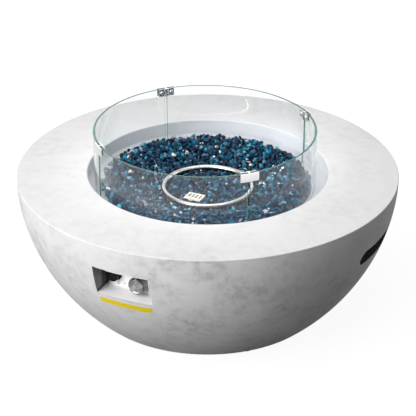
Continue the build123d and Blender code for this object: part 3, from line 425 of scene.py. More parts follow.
# %% Brushed and turned metal
def lined_metal(name, colour, darker, smooth, rough, lines, metallic=1.0):
    """Metal with tool lines: lines is the scale of lines round the axis, or how fine the pattern is along
    x, y and z."""
    tree, shader, place = new_finish(name, {"Metallic": metallic})
    if isinstance(lines, tuple):
        drawn = effect(tree, clouds, scaled(tree, place, *lines), scale=1.0, detail=2.0)
    else:
        drawn = effect(tree, turned_lines, place, scale=lines)
    marks = effect(tree, clouds, place, scale=18.0, detail=4.0)
    worn = number(tree, "ADD", product(tree, drawn, 0.7), product(tree, marks, 0.3))
    feed(tree, shader, Base_Color=blended(tree, spread(tree, worn, 0.2, 0.9), darker, colour),
         Roughness=spread(tree, worn, 0.1, 0.9, smooth, rough), Normal=bump(tree, drawn, 0.00002))
    return tree, shader, place


lined_metal("pan_steel", (0.51, 0.523, 0.545, 1), (0.47, 0.483, 0.505, 1), 0.55, 0.68, 900.0, metallic=0.1)
lined_metal("cage_steel", (0.90, 0.88, 0.80, 1), (0.80, 0.77, 0.68, 1), 0.45, 0.60, (900, 60, 60),
            metallic=0.3)
lined_metal("clip_metal", (0.90, 0.90, 0.90, 1), (0.82, 0.82, 0.82, 1), 0.10, 0.20, (120, 120, 1500))
lined_metal("screw_steel", (0.62, 0.62, 0.64, 1), (0.46, 0.46, 0.48, 1), 0.22, 0.38, (900, 900, 900))
lined_metal("pilot_aluminium", (0.78, 0.79, 0.80, 1), (0.62, 0.63, 0.64, 1), 0.34, 0.52, (500, 90, 500))
lined_metal("copper", (0.72, 0.39, 0.26, 1), (0.50, 0.24, 0.15, 1), 0.28, 0.48, (500, 90, 500))
lined_metal("brass", (0.71, 0.55, 0.27, 1), (0.52, 0.38, 0.17, 1), 0.22, 0.40, (160, 160, 1400))
lined_metal("spring_steel", (0.50, 0.50, 0.52, 1), (0.34, 0.34, 0.36, 1), 0.26, 0.42, (900, 900, 900))
lined_metal("corrugated_steel", (0.72, 0.73, 0.74, 1), (0.52, 0.53, 0.55, 1), 0.24, 0.40, (700, 700, 700))
print("finishes so far", sorted(finishes))

# %% [markdown]
# The burner is the same steel all through, but what lies under the fire glass is painted black, partly as
# soot and partly as painted shade under the glass. The black starts at a level a little under the ring's
# middle, and covers the hub and the cross tube inside the ring. A darker line runs round the outside of the
# ring, where its tube is welded, and its inner, lower side is darker: both are partly heat tint and partly
# painted shade. All of this is measured from the circle in the middle of the ring's tube, outwards and
# upwards, and each pair of numbers says where a mask starts and where it is full.

# %% The burner's steel
ring_tube = 0.007
ring_radius = box_of("burner_ring")[1][0] - ring_tube
ring_level = box_of("burner_ring")[2][2]
soot_shade_below, soot_shade_inside = (-0.0060, -0.0085), (-0.0155, -0.0205)
seam_shade_inner, seam_shade_outer = (0.0045, 0.0053), (0.0067, 0.0063)
fired_shade_inside, fired_shade_below = (-0.0030, -0.0065), (0.0010, -0.0050)
soot_and_shade_black = (0.012, 0.012, 0.013, 1)
tinted_and_shaded_steel = (0.22, 0.20, 0.19, 1)

tree, shader, place = lined_metal("burner_steel", (0.64, 0.63, 0.61, 1), (0.46, 0.44, 0.42, 1), 0.12, 0.24,
                                  700.0)
x, y, z = axes(tree, place)
out = number(tree, "SUBTRACT", length(tree, vector_of(tree, x, y)), ring_radius)
up = number(tree, "SUBTRACT", z, ring_level)
# soot and painted shade: the steel under the fire glass goes black
soot_and_shade = any_of(tree, spread(tree, up, *soot_shade_below), spread(tree, out, *soot_shade_inside))
# weld seam, heat tint and painted shade: a darker line outside and a darker inner, lower side
seam = product(tree, spread(tree, out, *seam_shade_inner), spread(tree, out, *seam_shade_outer))
fired_and_shaded = product(tree, spread(tree, out, *fired_shade_inside), spread(tree, up, *fired_shade_below))
tint = any_of(tree, seam, product(tree, fired_and_shaded, 0.8))
steel = blended(tree, tint, colour_so_far(shader), tinted_and_shaded_steel)
feed(tree, shader, Base_Color=blended(tree, soot_and_shade, steel, soot_and_shade_black))
print("ring radius", round(ring_radius, 4), "level", ring_level)

# %% [markdown]
# ## Cast and plated metal
# The gas valve and the air mixer are cast, so their skin is grainy and dull, with no lines at all. The
# nuts and the heat shield are zinc plated: zinc sets in crystals, which show as flat patches of slightly
# different brightness.

# %% Cast alloy and zinc plate
tree, shader, place = new_finish("cast_alloy", {"Metallic": 0.85})
skin = effect(tree, clouds, place, scale=420.0, detail=3.0)
patches = effect(tree, clouds, place, scale=26.0, detail=4.0)
feed(tree, shader, Base_Color=blended(tree, patches, (0.50, 0.50, 0.51, 1), (0.38, 0.38, 0.39, 1)),
     Roughness=spread(tree, skin, 0, 1, 0.45, 0.68), Normal=bump(tree, skin, 0.00025))
print("cast_alloy", len(tree.nodes), "nodes")

tree, shader, place = new_finish("zinc_steel", {"Metallic": 0.9})
crystal = wire(tree, "TexVoronoi", {"Vector": place, "Scale": 150.0}).outputs["Color"]
facet = wire(tree, "SeparateColor", {0: crystal}).outputs[0]
wear = effect(tree, clouds, place, scale=30.0, detail=5.0)
feed(tree, shader, Base_Color=blended(tree, facet, (0.46, 0.48, 0.50, 1), (0.64, 0.65, 0.66, 1)),
     Roughness=spread(tree, product(tree, facet, wear), 0, 0.8, 0.3, 0.52),
     Normal=bump(tree, wear, 0.00005))
print("zinc_steel", len(tree.nodes), "nodes")

# %% [markdown]
# ## The knob
# The knob is turned from metal bar: its lines run round its own axis, which points at the user, so the
# coordinates are first moved to that axis and laid over. Turned metal shines in wedges, and here that shine
# is
# a painted sheen: its tone changes with the angle round the axis too.

# %% The knob's metal
tree, shader, place = new_finish("knob_metal", {"Metallic": 1.0})
knob_axis = (knob_middle[0], 0.0, knob_middle[2])
centred = wire(tree, "VectorMath", {0: place, 1: knob_axis}, operation="SUBTRACT").outputs[0]
x, y, z = axes(tree, centred)
drawn = effect(tree, turned_lines, vector_of(tree, x, z, y), scale=1500.0)
touch = effect(tree, clouds, place, scale=85.0, detail=4.0)
way_round = wire(tree, "VectorMath", {0: vector_of(tree, x, z)}, operation="NORMALIZE").outputs[0]
# painted sheen: dark wedges round the knob's axis stand in for the shine of turned metal
painted_sheen_wedge = effect(tree, clouds, way_round, scale=1.5, detail=2.0)
metal = blended(tree, spread(tree, drawn, 0.1, 0.9), (0.22, 0.22, 0.225, 1), (0.30, 0.30, 0.305, 1))
metal = blended(tree, spread(tree, painted_sheen_wedge, 0.2, 0.8, 0.0, 0.8), metal, (0.10, 0.10, 0.105, 1))
metal = blended(tree, spread(tree, touch, 0.35, 0.9, 0.0, 0.7), metal, (0.52, 0.52, 0.52, 1))
print("knob axis", knob_axis)

# %% [markdown]
# The pointer is a milled groove with white paint in it. The paint shows where three things hold: close to
# the middle line, above the middle of the face, and near enough to the knob's front.

# %% The knob's pointer
groove_half = 0.00125
groove_start = 0.0085
groove_depth = 0.006
groove_paint = (0.60, 0.60, 0.59, 1)

in_groove = product(tree, number(tree, "LESS_THAN", number(tree, "ABSOLUTE", x), groove_half),
                    number(tree, "GREATER_THAN", z, groove_start),
                    number(tree, "LESS_THAN", y, knob_front + groove_depth))
feed(tree, shader, Base_Color=blended(tree, in_groove, metal, groove_paint),
     Metallic=number(tree, "SUBTRACT", 1.0, in_groove),
     Roughness=spread(tree, touch, 0, 1, 0.22, 0.40), Normal=bump(tree, drawn, 0.00002))
print("pointer", groove_half * 2, "wide, starts", groove_start, "above the axis")

# %% [markdown]
# ## Paint, plastic, rubber and ceramic
# These are dull or half gloss and differ in their skin: powder paint has the soft dimples of an orange,
# moulded plastic a fine etched grain, rubber a dull bloom in patches, and glazed ceramic is glossy with
# slight waves.

# %% Moulded and coated finishes
def moulded(name, colour, other, smooth, rough, grain, depth, patch=20.0, shine=0.5):
    """A non-metal skin: two tones in patches and a fine grain of a given scale and depth."""
    tree, shader, place = new_finish(name, {"Metallic": 0.0, "Specular IOR Level": shine})
    fine = effect(tree, clouds, place, scale=grain, detail=2.0)
    bloom = effect(tree, clouds, place, scale=patch, detail=5.0)
    feed(tree, shader, Base_Color=blended(tree, bloom, colour, other),
         Roughness=spread(tree, bloom, 0, 1, smooth, rough), Normal=bump(tree, fine, depth))
    return tree, shader, place


moulded("black_plastic", (0.004, 0.004, 0.005, 1), (0.010, 0.010, 0.011, 1), 0.32, 0.46, 1600.0, 0.00004,
        shine=0.12)
moulded("pad_rubber", (0.018, 0.018, 0.019, 1), (0.040, 0.040, 0.040, 1), 0.70, 0.90, 700.0, 0.0001)
moulded("clip_rubber", (0.030, 0.036, 0.045, 1), (0.055, 0.062, 0.072, 1), 0.55, 0.75, 900.0, 0.00005)
moulded("wire_rubber", (0.020, 0.020, 0.022, 1), (0.050, 0.048, 0.046, 1), 0.42, 0.62, 600.0, 0.00006)
moulded("white_ceramic", (0.82, 0.81, 0.78, 1), (0.74, 0.73, 0.70, 1), 0.10, 0.22, 90.0, 0.0001)
print("finishes so far", len(finishes))

# %% [markdown]
# The recess has a sheet steel liner. Its floor and the panel at its back are powder painted white. Its sides
# and roof are grey, partly as primer and partly as painted shade in the recess, and more painted shade
# darkens them towards the back and low down. So the finish looks at which way each face points.

# %% The liner's paint
primer_and_shade_grey, primer_and_shade_pale = (0.34, 0.34, 0.343, 1), (0.42, 0.42, 0.423, 1)
back_shade_grey, low_shade_grey = (0.012, 0.012, 0.013, 1), (0.006, 0.006, 0.007, 1)
back_shade_start, back_shade_end = -0.483, -0.478
low_shade_start, low_shade_end = 0.262, 0.250

tree, shader, place = moulded("liner_paint", (0.97, 0.97, 0.97, 1), (0.93, 0.93, 0.935, 1), 0.5, 0.65, 340.0,
                              0.00012, patch=30.0, shine=0.15)
x, y, z = axes(tree, place)
way_x, way_y, way_z = axes(tree, wire(tree, "NewGeometry").outputs["Normal"])
white = colour_so_far(shader)
primer_and_shade = blended(tree, effect(tree, clouds, place, scale=45.0, detail=4.0), primer_and_shade_grey, primer_and_shade_pale)
# painted shade: the grey goes near black towards the back of the recess and low down
primer_and_shade = blended(tree, spread(tree, y, back_shade_start, back_shade_end, 0.0, 0.65), primer_and_shade, back_shade_grey)
primer_and_shade = blended(tree, spread(tree, z, low_shade_start, low_shade_end), primer_and_shade, low_shade_grey)
aside = spread(tree, number(tree, "ABSOLUTE", way_x), 0.6, 0.8)
above = spread(tree, product(tree, way_z, -1.0), 0.6, 0.8)
print("liner_paint", len(tree.nodes), "nodes")

# %% [markdown]
# The panel has two small printed marks under the igniter, a ring and a dash, and a row of ticks round the
# knob. Each is a band round a distance: from a point, from a line, or from the knob's axis with a step of
# the angle.

# %% The panel's marks
ring_mark_place, ring_mark_radius, ring_mark_half = (-0.044, 0.2615), 0.0034, 0.0008
dash_place, dash_half = (-0.026, 0.2625), (0.0038, 0.0009)
tick_radius, tick_half = 0.0325, 0.0022
tick_step, tick_half_angle = math.radians(15), 0.018
print_grey = (0.12, 0.12, 0.12, 1)


def steps_from(tree, point):
    """How far across and how far up from a point of the panel."""
    return number(tree, "SUBTRACT", x, point[0]), number(tree, "SUBTRACT", z, point[1])


from_ring = length(tree, vector_of(tree, *steps_from(tree, ring_mark_place)))
ring_mark = stays_within(tree, from_ring, ring_mark_radius, ring_mark_half)
dash_mark = product(tree, stays_within(tree, x, dash_place[0], dash_half[0]),
                    stays_within(tree, z, dash_place[1], dash_half[1]))
across, up = steps_from(tree, (knob_middle[0], knob_middle[2]))
from_tick = number(tree, "PINGPONG", number(tree, "ARCTAN2", up, across), tick_step / 2)
ticks = product(tree, stays_within(tree, length(tree, vector_of(tree, across, up)), tick_radius, tick_half),
                number(tree, "LESS_THAN", from_tick, tick_half_angle))
on_front = stays_within(tree, y, panel_front, 0.0005)
printed = product(tree, any_of(tree, ring_mark, dash_mark, ticks), on_front)
white = blended(tree, printed, white, print_grey)
print("ticks every", round(math.degrees(tick_step), 1), "degrees")

# %% [markdown]
# A painted shadow of the recess's roof and left wall darkens the panel's upper corner behind the igniter,
# down to a slanting line. The level less 1.2 times the way across is the same all along such a line, so that
# number is the mask.

# %% The panel's shade
corner_slope = 1.2
corner_start, corner_end = 0.331, 0.349
igniter_side, corner_side = -0.036, -0.044
painted_shadow_grey = (0.03, 0.03, 0.031, 1)

upright = number(tree, "GREATER_THAN", number(tree, "ABSOLUTE", way_y), 0.7)
diagonal = number(tree, "SUBTRACT", z, product(tree, x, corner_slope))
# painted shadow of the recess's roof and left wall on the panel's upper corner
corner = product(tree, spread(tree, diagonal, corner_start, corner_end), upright,
                 spread(tree, x, igniter_side, corner_side))
white = blended(tree, corner, white, painted_shadow_grey)
feed(tree, shader, Base_Color=blended(tree, any_of(tree, aside, above), white, primer_and_shade))
print("liner_paint", len(tree.nodes), "nodes")

# %% [markdown]
# The igniter's battery has a shrunk film: two bands of colour round the cell, with a fine gloss.

# %% The battery's film
band_start = -0.402
tree, shader, place = moulded("battery_wrap", (0.02, 0.02, 0.022, 1), (0.03, 0.03, 0.033, 1), 0.2, 0.32,
                              400.0, 0.00004)
band = number(tree, "GREATER_THAN", axes(tree, place)[1], band_start)
feed(tree, shader, Base_Color=blended(tree, band, colour_so_far(shader), (0.62, 0.36, 0.10, 1)))
print("finishes", sorted(finishes))

# %% [markdown]
# ## Helpers for surfaces
# A new piece is a sheet of points worked out from two numbers, like lines of latitude and longitude. The
# points are whole arrays, so a change of formula changes every point at once. The grid's cells become the
# piece's faces.

# %% Helpers that make pieces
def cells_of(rows, columns, close_rows=False, close_columns=False):
    """The four corners of every cell of a grid; a closed side joins its last line of points to its first."""
    i, j = np.meshgrid(np.arange(rows - (not close_rows)), np.arange(columns - (not close_columns)),
                       indexing="ij")
    down, right = (i + 1) % rows, (j + 1) % columns
    corners = np.stack([i * columns + j, i * columns + right, down * columns + right, down * columns + j], -1)
    return corners.reshape(-1, 4)


def new_piece(name, points, faces, names, body, smooth=True):
    """A mesh object at the origin with its place in its points, riding on a body and with its finishes in
    order."""
    mesh = bpy.data.meshes.new(name)
    mesh.from_pydata(np.asarray(points, float).reshape(-1, 3).tolist(), [], [list(face) for face in faces])
    mesh.validate()
    for finish_name in names:
        mesh.materials.append(finishes[finish_name])
    mesh.polygons.foreach_set("use_smooth", np.full(len(mesh.polygons), smooth))
    made = bpy.data.objects.new(name, mesh)
    bpy.context.scene.collection.objects.link(made)
    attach(made, body)
    return made


def settle(made, sharp=35.0):
    """Bakes a piece's modifiers into its mesh, and keeps edges sharper than an angle sharp."""
    bpy.context.view_layer.update()
    baked = bpy.data.meshes.new_from_object(made.evaluated_get(bpy.context.evaluated_depsgraph_get()))
    made.modifiers.clear()
    made.data = baked
    baked.polygons.foreach_set("use_smooth", np.full(len(baked.polygons), True))
    baked.set_sharp_from_angle(angle=math.radians(sharp))
    print(made.name, "faces", len(baked.polygons))


print("a grid of 3 by 4 points has", len(cells_of(3, 4)), "cells")

# %% [markdown]
# ## The wind guard's glass
# Four panels of 6 mm tempered glass, each a quarter of a drum. The face is clear, and the ground edge
# shows the green of the glass's iron, so the two are separate finishes. Real glass throws only a faint
# shadow; here that is done by making the glass nearly clear to shadow rays.

# %% A glass finish
def glass_finish(name, tint, rough, shade, through=1.0):
    """Clear glass: light goes through it and bends, and its shadow is a veil, set by how much it shades."""
    tree, shader, place = new_finish(name, {"Transmission Weight": through, "IOR": 1.45, "Roughness": rough})
    film = effect(tree, clouds, place, scale=9.0, detail=4.0)
    clear = tuple(min(1.0, value * 1.01) for value in tint[:3]) + (1.0,)
    in_shadow = wire(tree, "LightPath").outputs["Is Shadow Ray"]
    feed(tree, shader, Base_Color=blended(tree, film, tint, clear),
         Alpha=spread(tree, in_shadow, 0.0, 1.0, 1.0, shade))
    return tree, shader, place, film


tree, shader, place, film = glass_finish("guard_glass_edge", (0.10, 0.36, 0.27, 1), 0.18, 0.4, through=0.6)
ground = effect(tree, clouds, scaled(tree, place, 300, 300, 1400), scale=1.0, detail=2.0)
feed(tree, shader, Roughness=spread(tree, ground, 0, 1, 0.10, 0.28))
print("guard_glass_edge", len(tree.nodes), "nodes")

# %% [markdown]
# The clear face has a thin film of dust and wiping marks, and one hazy spot low on the front panel. They
# are a rough coat over the glass, which catches light without blurring what is seen through it.

# %% The clear face
haze_place = (-0.035, -0.315, 0.405)
haze_start, haze_end = 0.03, 0.10

tree, shader, place, film = glass_finish("guard_glass", (0.975, 0.985, 0.998, 1), 0.0, 0.06)
shader.inputs["Coat Roughness"].default_value = 0.45
shader.inputs["Coat IOR"].default_value = 1.7
wiped = effect(tree, clouds, scaled(tree, place, 3, 3, 1), scale=6.0, detail=5.0)
from_haze = wire(tree, "VectorMath", {0: place, 1: haze_place}, operation="DISTANCE").outputs["Value"]
haze = product(tree, spread(tree, from_haze, haze_start, haze_end, 0.55, 0.0),
               spread(tree, wiped, 0.0, 1.0, 0.4, 1.0))
feed(tree, shader, Roughness=spread(tree, film, 0.6, 1.0, 0.0, 0.02),
     Coat_Weight=number(tree, "ADD", haze, spread(tree, film, 0.0, 1.0, 0.04, 0.10)))
print("guard_glass", len(tree.nodes), "nodes")

# %% [markdown]
# The four panels make a drum that stands a little off the bowl's middle, as a loose guard does. Its middle
# is read from the CAD panels, and the gaps between the panels lie under the clips.

# %% The drum of glass
guard_radius = 0.314
guard_middle = np.round([(box_of("glass_panel_1")[1][0] + box_of("glass_panel_3")[0][0]) / 2,
                         (box_of("glass_panel_2")[1][1] + box_of("glass_panel_4")[0][1]) / 2], 6)
glass_low, glass_high = box_of("glass_panel_1")[0][2], box_of("glass_panel_1")[1][2]
glass_thickness = 0.006
glass_gap = 0.007
glass_corner = 0.005
ground_edge = 0.0007
first_middle = 2.8
print("guard middle", guard_middle, "glass from", glass_low, "to", glass_high)

# %% [markdown]
# A panel is a sheet bent to the drum's radius, with round corners. Two modifiers finish it: one gives the
# sheet its thickness and its rim the edge's finish, and one grinds the edges.

# %% The four panels
corner_points, along_points, up_points = 7, 49, 9


def glass_panel(index):
    """A bent sheet: the arc length s runs from seam to seam, and the height between the lower and the upper
    outline. Near a seam the outline is a quarter circle of radius c: its height over the edge is
    c - sqrt(c^2 - d^2), with d the way into the corner."""
    middle_radius = guard_radius - glass_thickness / 2
    half = middle_radius * math.radians(45) - glass_gap / 2
    straight = half - glass_corner
    corner = half - glass_corner * (1 - np.cos(np.linspace(0, np.pi / 2, corner_points)))[::-1]
    s = np.concatenate([-corner[::-1], np.linspace(-straight, straight, along_points)[1:-1], corner])
    into = np.clip(np.abs(s) - straight, 0, glass_corner)
    rise = glass_corner - np.sqrt(glass_corner ** 2 - into ** 2)
    share = np.linspace(0, 1, up_points)[:, None]
    z = (glass_low + rise) + share * (glass_high - glass_low - 2 * rise)
    angle = math.radians(first_middle + 90 * index) + s / middle_radius + 0 * z
    x = guard_middle[0] + middle_radius * np.cos(angle)
    y = guard_middle[1] + middle_radius * np.sin(angle)
    made = new_piece(f"guard_glass_{index + 1}", np.stack([x, y, z], -1), cells_of(*z.shape),
                     ["guard_glass", "guard_glass_edge"], "wind_guard")
    sheet = made.modifiers.new("thickness", "SOLIDIFY")
    sheet.thickness = glass_thickness
    sheet.offset = 0
    sheet.material_offset_rim = 1
    edges = made.modifiers.new("ground edge", "BEVEL")
    edges.width = ground_edge
    edges.segments = 2
    edges.angle_limit = math.radians(50)
    settle(made, 15)
    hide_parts(f"glass_panel_{index + 1}")
    return made


panels = [glass_panel(index) for index in range(4)]
print("first panel from", short(panels[0].bound_box[0]), "to", short(panels[0].bound_box[6]))

# %% [markdown]
# ## The fire glass
# About 1,600 pieces lie on top of a bed, and as many fill the gaps below. Real fire glass is broken and
# tumbled: lumps with flat, well rounded facets. One lump is a ball of 42 points pulled in to a few random
# planes; forty such lumps are turned and sized at random and laid on a honeycomb pattern that follows the
# bed's level.

# %% The bed's level
bed_levels = np.array([(0.0, 0.3530), (0.1000, 0.3530), (0.1450, 0.3500), (0.1900, 0.3600), (0.2400, 0.3730),
                       (0.2750, 0.3830), (0.3000, 0.3850)])
basin_radius = 0.296
bed_radius = 0.3040
ledge_level = glass_low + 0.0002
bed_middle = guard_middle * 0.7
pilot_middle = np.array(box_of("pilot_cage")[2][:2])
pilot_half = np.array([0.025, 0.0205])


def bed_level(radius):
    """Height of the bed's surface at a distance from the axis, read along the profile."""
    return np.interp(radius, bed_levels[:, 0], bed_levels[:, 1])


print("bed level at the ring", round(float(bed_level(ring_radius)), 4), "pilot at", pilot_middle)

# %% [markdown]
# A lump starts as a ball with rings of points and a pole at each end. Its sides are quads, and triangles
# close it round the poles.

# %% The ball that a lump starts as
lump_rows, lump_columns = 6, 8


def lump_directions():
    """Unit vectors on rings of latitude, with a pole at each end."""
    latitude = np.linspace(-np.pi / 2, np.pi / 2, lump_rows + 1)[1:-1, None]
    longitude = np.linspace(0, 2 * np.pi, lump_columns, endpoint=False)[None, :] + 0 * latitude
    rings = np.stack([np.cos(latitude) * np.cos(longitude), np.cos(latitude) * np.sin(longitude),
                      np.sin(latitude) + 0 * longitude], -1).reshape(-1, 3)
    return np.concatenate([rings, [(0, 0, -1), (0, 0, 1)]])


def lump_faces():
    """Quads between the rings and triangles round the poles."""
    rings = lump_rows - 1
    sides = cells_of(rings, lump_columns, close_columns=True)
    j = np.arange(lump_columns)
    after = (j + 1) % lump_columns
    low, high, top = rings * lump_columns, rings * lump_columns + 1, (rings - 1) * lump_columns
    under = np.stack([after, j, np.full_like(j, low)], -1)
    over = np.stack([top + j, top + after, np.full_like(j, high)], -1)
    return sides, np.concatenate([under, over])


directions = lump_directions()
sides, caps = lump_faces()
print("a lump has", len(directions), "points and", len(sides) + len(caps), "faces")

# %% [markdown]
# Along each direction the ball is pulled in to the nearest of nine planes, and a high power rounds the
# edges where two planes meet. Forty lumps are enough: turned and stretched at random, no two look alike.

# %% The shapes of the lumps
lump_count = 40
lump_planes = 9
plane_depths = (0.62, 1.0)
edge_power = 10
dice = np.random.default_rng(17)


def lump_shapes(u):
    """For each lump, the distance r along each direction u to a rounded set of planes with normals n and
    depths d: r = (0.3 + sum over the planes of (n.u / d)^p, where n.u > 0) to the power -1/p. The plane that
    a face of the mesh lies on is the one with the largest n.u / d at the face's middle."""
    normals = dice.normal(size=(lump_count, lump_planes, 3))
    normals /= np.linalg.norm(normals, axis=-1, keepdims=True)
    depths = dice.uniform(*plane_depths, size=(lump_count, lump_planes))
    facing = np.clip(np.einsum("kni,pi->kpn", normals, u), 0, None) / depths[:, None, :]
    distance = (np.sum(facing ** edge_power, -1) + 0.3) ** (-1 / edge_power)
    middles = np.concatenate([u[sides].mean(1), u[caps].mean(1)])
    plane = np.argmax(np.einsum("kni,fi->kfn", normals, middles) / depths[:, None, :], axis=-1)
    return u[None] * np.clip(distance, 0.55, 1.15)[..., None], plane


shapes, planes = lump_shapes(directions)
radii = np.linalg.norm(shapes, axis=-1)
print("lump shapes", len(shapes), "with radii from and to", short([radii.min(), radii.max()]))

# %% [markdown]
# The lumps' colours are mostly deep navy and teal, some slate and a few pale or bright cyan ones, as mixed
# fire glass is sold. The mesh keeps them in a colour attribute, whose fourth value marks the facets that
# mirror the room. A lump's rim is painted lighter than its middle, as painted light for the glow of glass at
# its edges, and streaks darken the middle.

# %% The fire glass finish
glass_tints = np.array([paint(*tint)[:3] for tint in (
    (6, 26, 50), (8, 38, 62), (10, 54, 82), (15, 72, 98), (24, 92, 118), (44, 82, 108),
    (48, 116, 140), (76, 110, 134), (44, 148, 174), (104, 138, 158), (112, 196, 216), (208, 216, 222))])
glass_shares = np.array([0.17, 0.19, 0.17, 0.15, 0.11, 0.07, 0.05, 0.04, 0.02, 0.015, 0.007, 0.008])

tree, shader, place = new_finish("fire_glass", {"IOR": 1.5, "Specular IOR Level": 0.12, "Coat IOR": 3.4,
                                                "Coat Roughness": 0.03})
mark = wire(tree, "Attribute", attribute_name="glass_tint").outputs
streak = effect(tree, clouds, place, scale=190.0, detail=4.0)
# painted light: each lump's rim is painted lighter than its middle
rim = wire(tree, "LayerWeight", {"Blend": 0.35}).outputs["Facing"]
deep = blended(tree, spread(tree, streak, 0.40, 0.95, 0.0, 0.75), mark["Color"], (0.005, 0.018, 0.036, 1))
lit = blended(tree, spread(tree, rim, 0.2, 1.0, 0.0, 0.5), deep, mark["Color"])
ripple = effect(tree, clouds, place, scale=420.0, detail=2.0)
feed(tree, shader, Base_Color=lit, Roughness=spread(tree, streak, 0, 1, 0.05, 0.20),
     Coat_Weight=mark["Alpha"], Normal=bump(tree, ripple, 0.0001))
print("tints", len(glass_tints), "shares add up to", round(float(glass_shares.sum()), 3))

# %% [markdown]
# The lumps lie on a honeycomb whose points are nudged at random, which looks poured and still leaves no
# large gaps. Another row of lumps leans on the walls of the pilot's cage.

# %% Points to lay lumps on
lump_pitch = 0.0138
lump_nudge = 0.26
pilot_pitch = 0.0095
leaning_gap = 0.006


def honeycomb(shift):
    """Points of a honeycomb over the basin, each nudged at random."""
    reach = int(bed_radius / lump_pitch) + 3
    i, j = np.meshgrid(np.arange(-reach, reach + 1), np.arange(-reach * 2, reach * 2 + 1), indexing="ij")
    x = (i + 0.5 * (j % 2)) * lump_pitch + shift * lump_pitch
    y = j * lump_pitch * math.sqrt(3) / 2 + shift * lump_pitch * 0.6
    points = np.stack([x, y], -1).reshape(-1, 2)
    return points + dice.uniform(-lump_nudge, lump_nudge, points.shape) * lump_pitch


def round_pilot(gap):
    """Points in a row round the pilot's cage, at a gap from its walls."""
    half = pilot_half + gap
    along = [np.arange(-side, side, pilot_pitch) + 0.004 for side in half]
    rows = [np.stack([along[0], along[0] * 0 + side * half[1]], -1) for side in (-1, 1)]
    rows += [np.stack([along[1] * 0 + side * half[0], along[1]], -1) for side in (-1, 1)]
    return pilot_middle + np.concatenate(rows)


print("lumps that lean on the pilot's cage", len(round_pilot(leaning_gap)))

# %% [markdown]
# Each point gets a lump of its own size, whose top follows the bed's level. A lump that would stick into
# the ring, the cage, the pan's wall or the wind guard is left out.

# %% Sizes and places of the lumps
small_lump, large_lump = 0.0066, 0.0102
small_leaning, large_leaning = 0.0062, 0.0080
lowest_nudge, highest_nudge = -0.0022, 0.0026
heap_reach, heap_height = 0.020, 0.003


def lump_places(shift, sunk):
    """Middle and size of each lump. The middle lies 0.75 of the size and the sunk depth below the bed's
    level."""
    leaning = round_pilot(leaning_gap)
    centre = np.concatenate([honeycomb(shift), leaning])
    radius = np.linalg.norm(centre, axis=1)
    size = dice.uniform(small_lump, large_lump, len(centre))
    size[-len(leaning):] = dice.uniform(small_leaning, large_leaning, len(leaning))
    from_pilot = np.abs(centre - pilot_middle) - pilot_half
    level = bed_level(radius) - size * 0.75 - sunk + dice.uniform(lowest_nudge, highest_nudge, len(centre))
    level += heap_height * np.all(from_pilot < heap_reach, axis=1)
    at_ring = np.hypot(radius - ring_radius, level - ring_level) < ring_tube + size * 0.8
    at_pilot = np.all(from_pilot < size[:, None] * 0.65, axis=1)
    in_guard = np.linalg.norm(centre - bed_middle, axis=1) < bed_radius - size * 0.95
    in_pan = (radius < basin_radius - size * 0.95) | (level > ledge_level + size * 0.8)
    keep = in_guard & in_pan & ~at_ring & ~at_pilot
    return np.column_stack([centre, level])[keep], size[keep]


print("lump sizes from", small_lump, "to", large_lump)

# %% [markdown]
# A lump is one of the forty shapes, picked, stretched and turned at random. A random turn comes from a
# square of nine random numbers, of which three directions at right angles are made; a mirrored one is
# turned back.

# %% Turn the lumps
least_stretch, most_stretch = (0.85, 0.8, 0.6), (1.25, 1.1, 0.9)


def turned_lumps(middle, size):
    """The points of all lumps: middle + size * turn (stretch * shape), and which shape each lump has."""
    count = len(size)
    turn = np.linalg.qr(dice.normal(size=(count, 3, 3)))[0]
    turn[:, :, 0] *= np.sign(np.linalg.det(turn))[:, None]
    stretch = dice.uniform(least_stretch, most_stretch, size=(count, 3))
    pick = dice.integers(lump_count, size=count)
    body = shapes[pick] * stretch[:, None, :]
    points = np.einsum("nij,npj->npi", turn, body) * size[:, None, None]
    return points + middle[:, None, :], pick


print("lumps are stretched from", least_stretch, "to", most_stretch)

# %% [markdown]
# Each lump carries its colour, and each facet is painted lighter or darker than its neighbours: painted light
# for the light that leaves every facet of a glass lump differently. About one facet in 33 is clean enough to
# mirror the room.
# All corners of a face get the same value.

# %% Colour the lumps
clean_share = 0.03


def mark_corners(made, values):
    """Stores a colour and a mirror mark at every corner of the mesh, for the fire glass finish."""
    tint = made.data.attributes.new("glass_tint", "FLOAT_COLOR", "CORNER")
    tint.data.foreach_set("color", np.asarray(values, np.float32).ravel())


def lump_colours(pick):
    """Colour and mirror mark at each corner: the colour is the lump's tint times a painted light level for
    its facet, 0.25 + 2 q^2 with a random q between 0.1 and 1."""
    rows = np.arange(len(pick))[:, None]
    # painted light: a brightness for each facet of a lump
    facet = dice.uniform(0.1, 1.0, (len(pick), lump_planes))[rows, planes[pick]] ** 2 * 2.0 + 0.25
    clean = dice.random((len(pick), lump_planes))[rows, planes[pick]] > 1 - clean_share
    chosen = glass_tints[dice.choice(len(glass_tints), size=len(pick), p=glass_shares / glass_shares.sum())]
    marks = np.concatenate([np.clip(chosen[:, None] * facet[..., None], 0, 1), clean[..., None]], -1)
    quads, triangles = marks[:, :len(sides)].reshape(-1, 4), marks[:, len(sides):].reshape(-1, 4)
    return np.concatenate([np.repeat(quads, 4, axis=0), np.repeat(triangles, 3, axis=0)])


print("one facet in", round(1 / clean_share), "mirrors the room")

# %% [markdown]
# The bed has an upper layer and, shifted by half a step and sunk by about half a lump, a lower one.

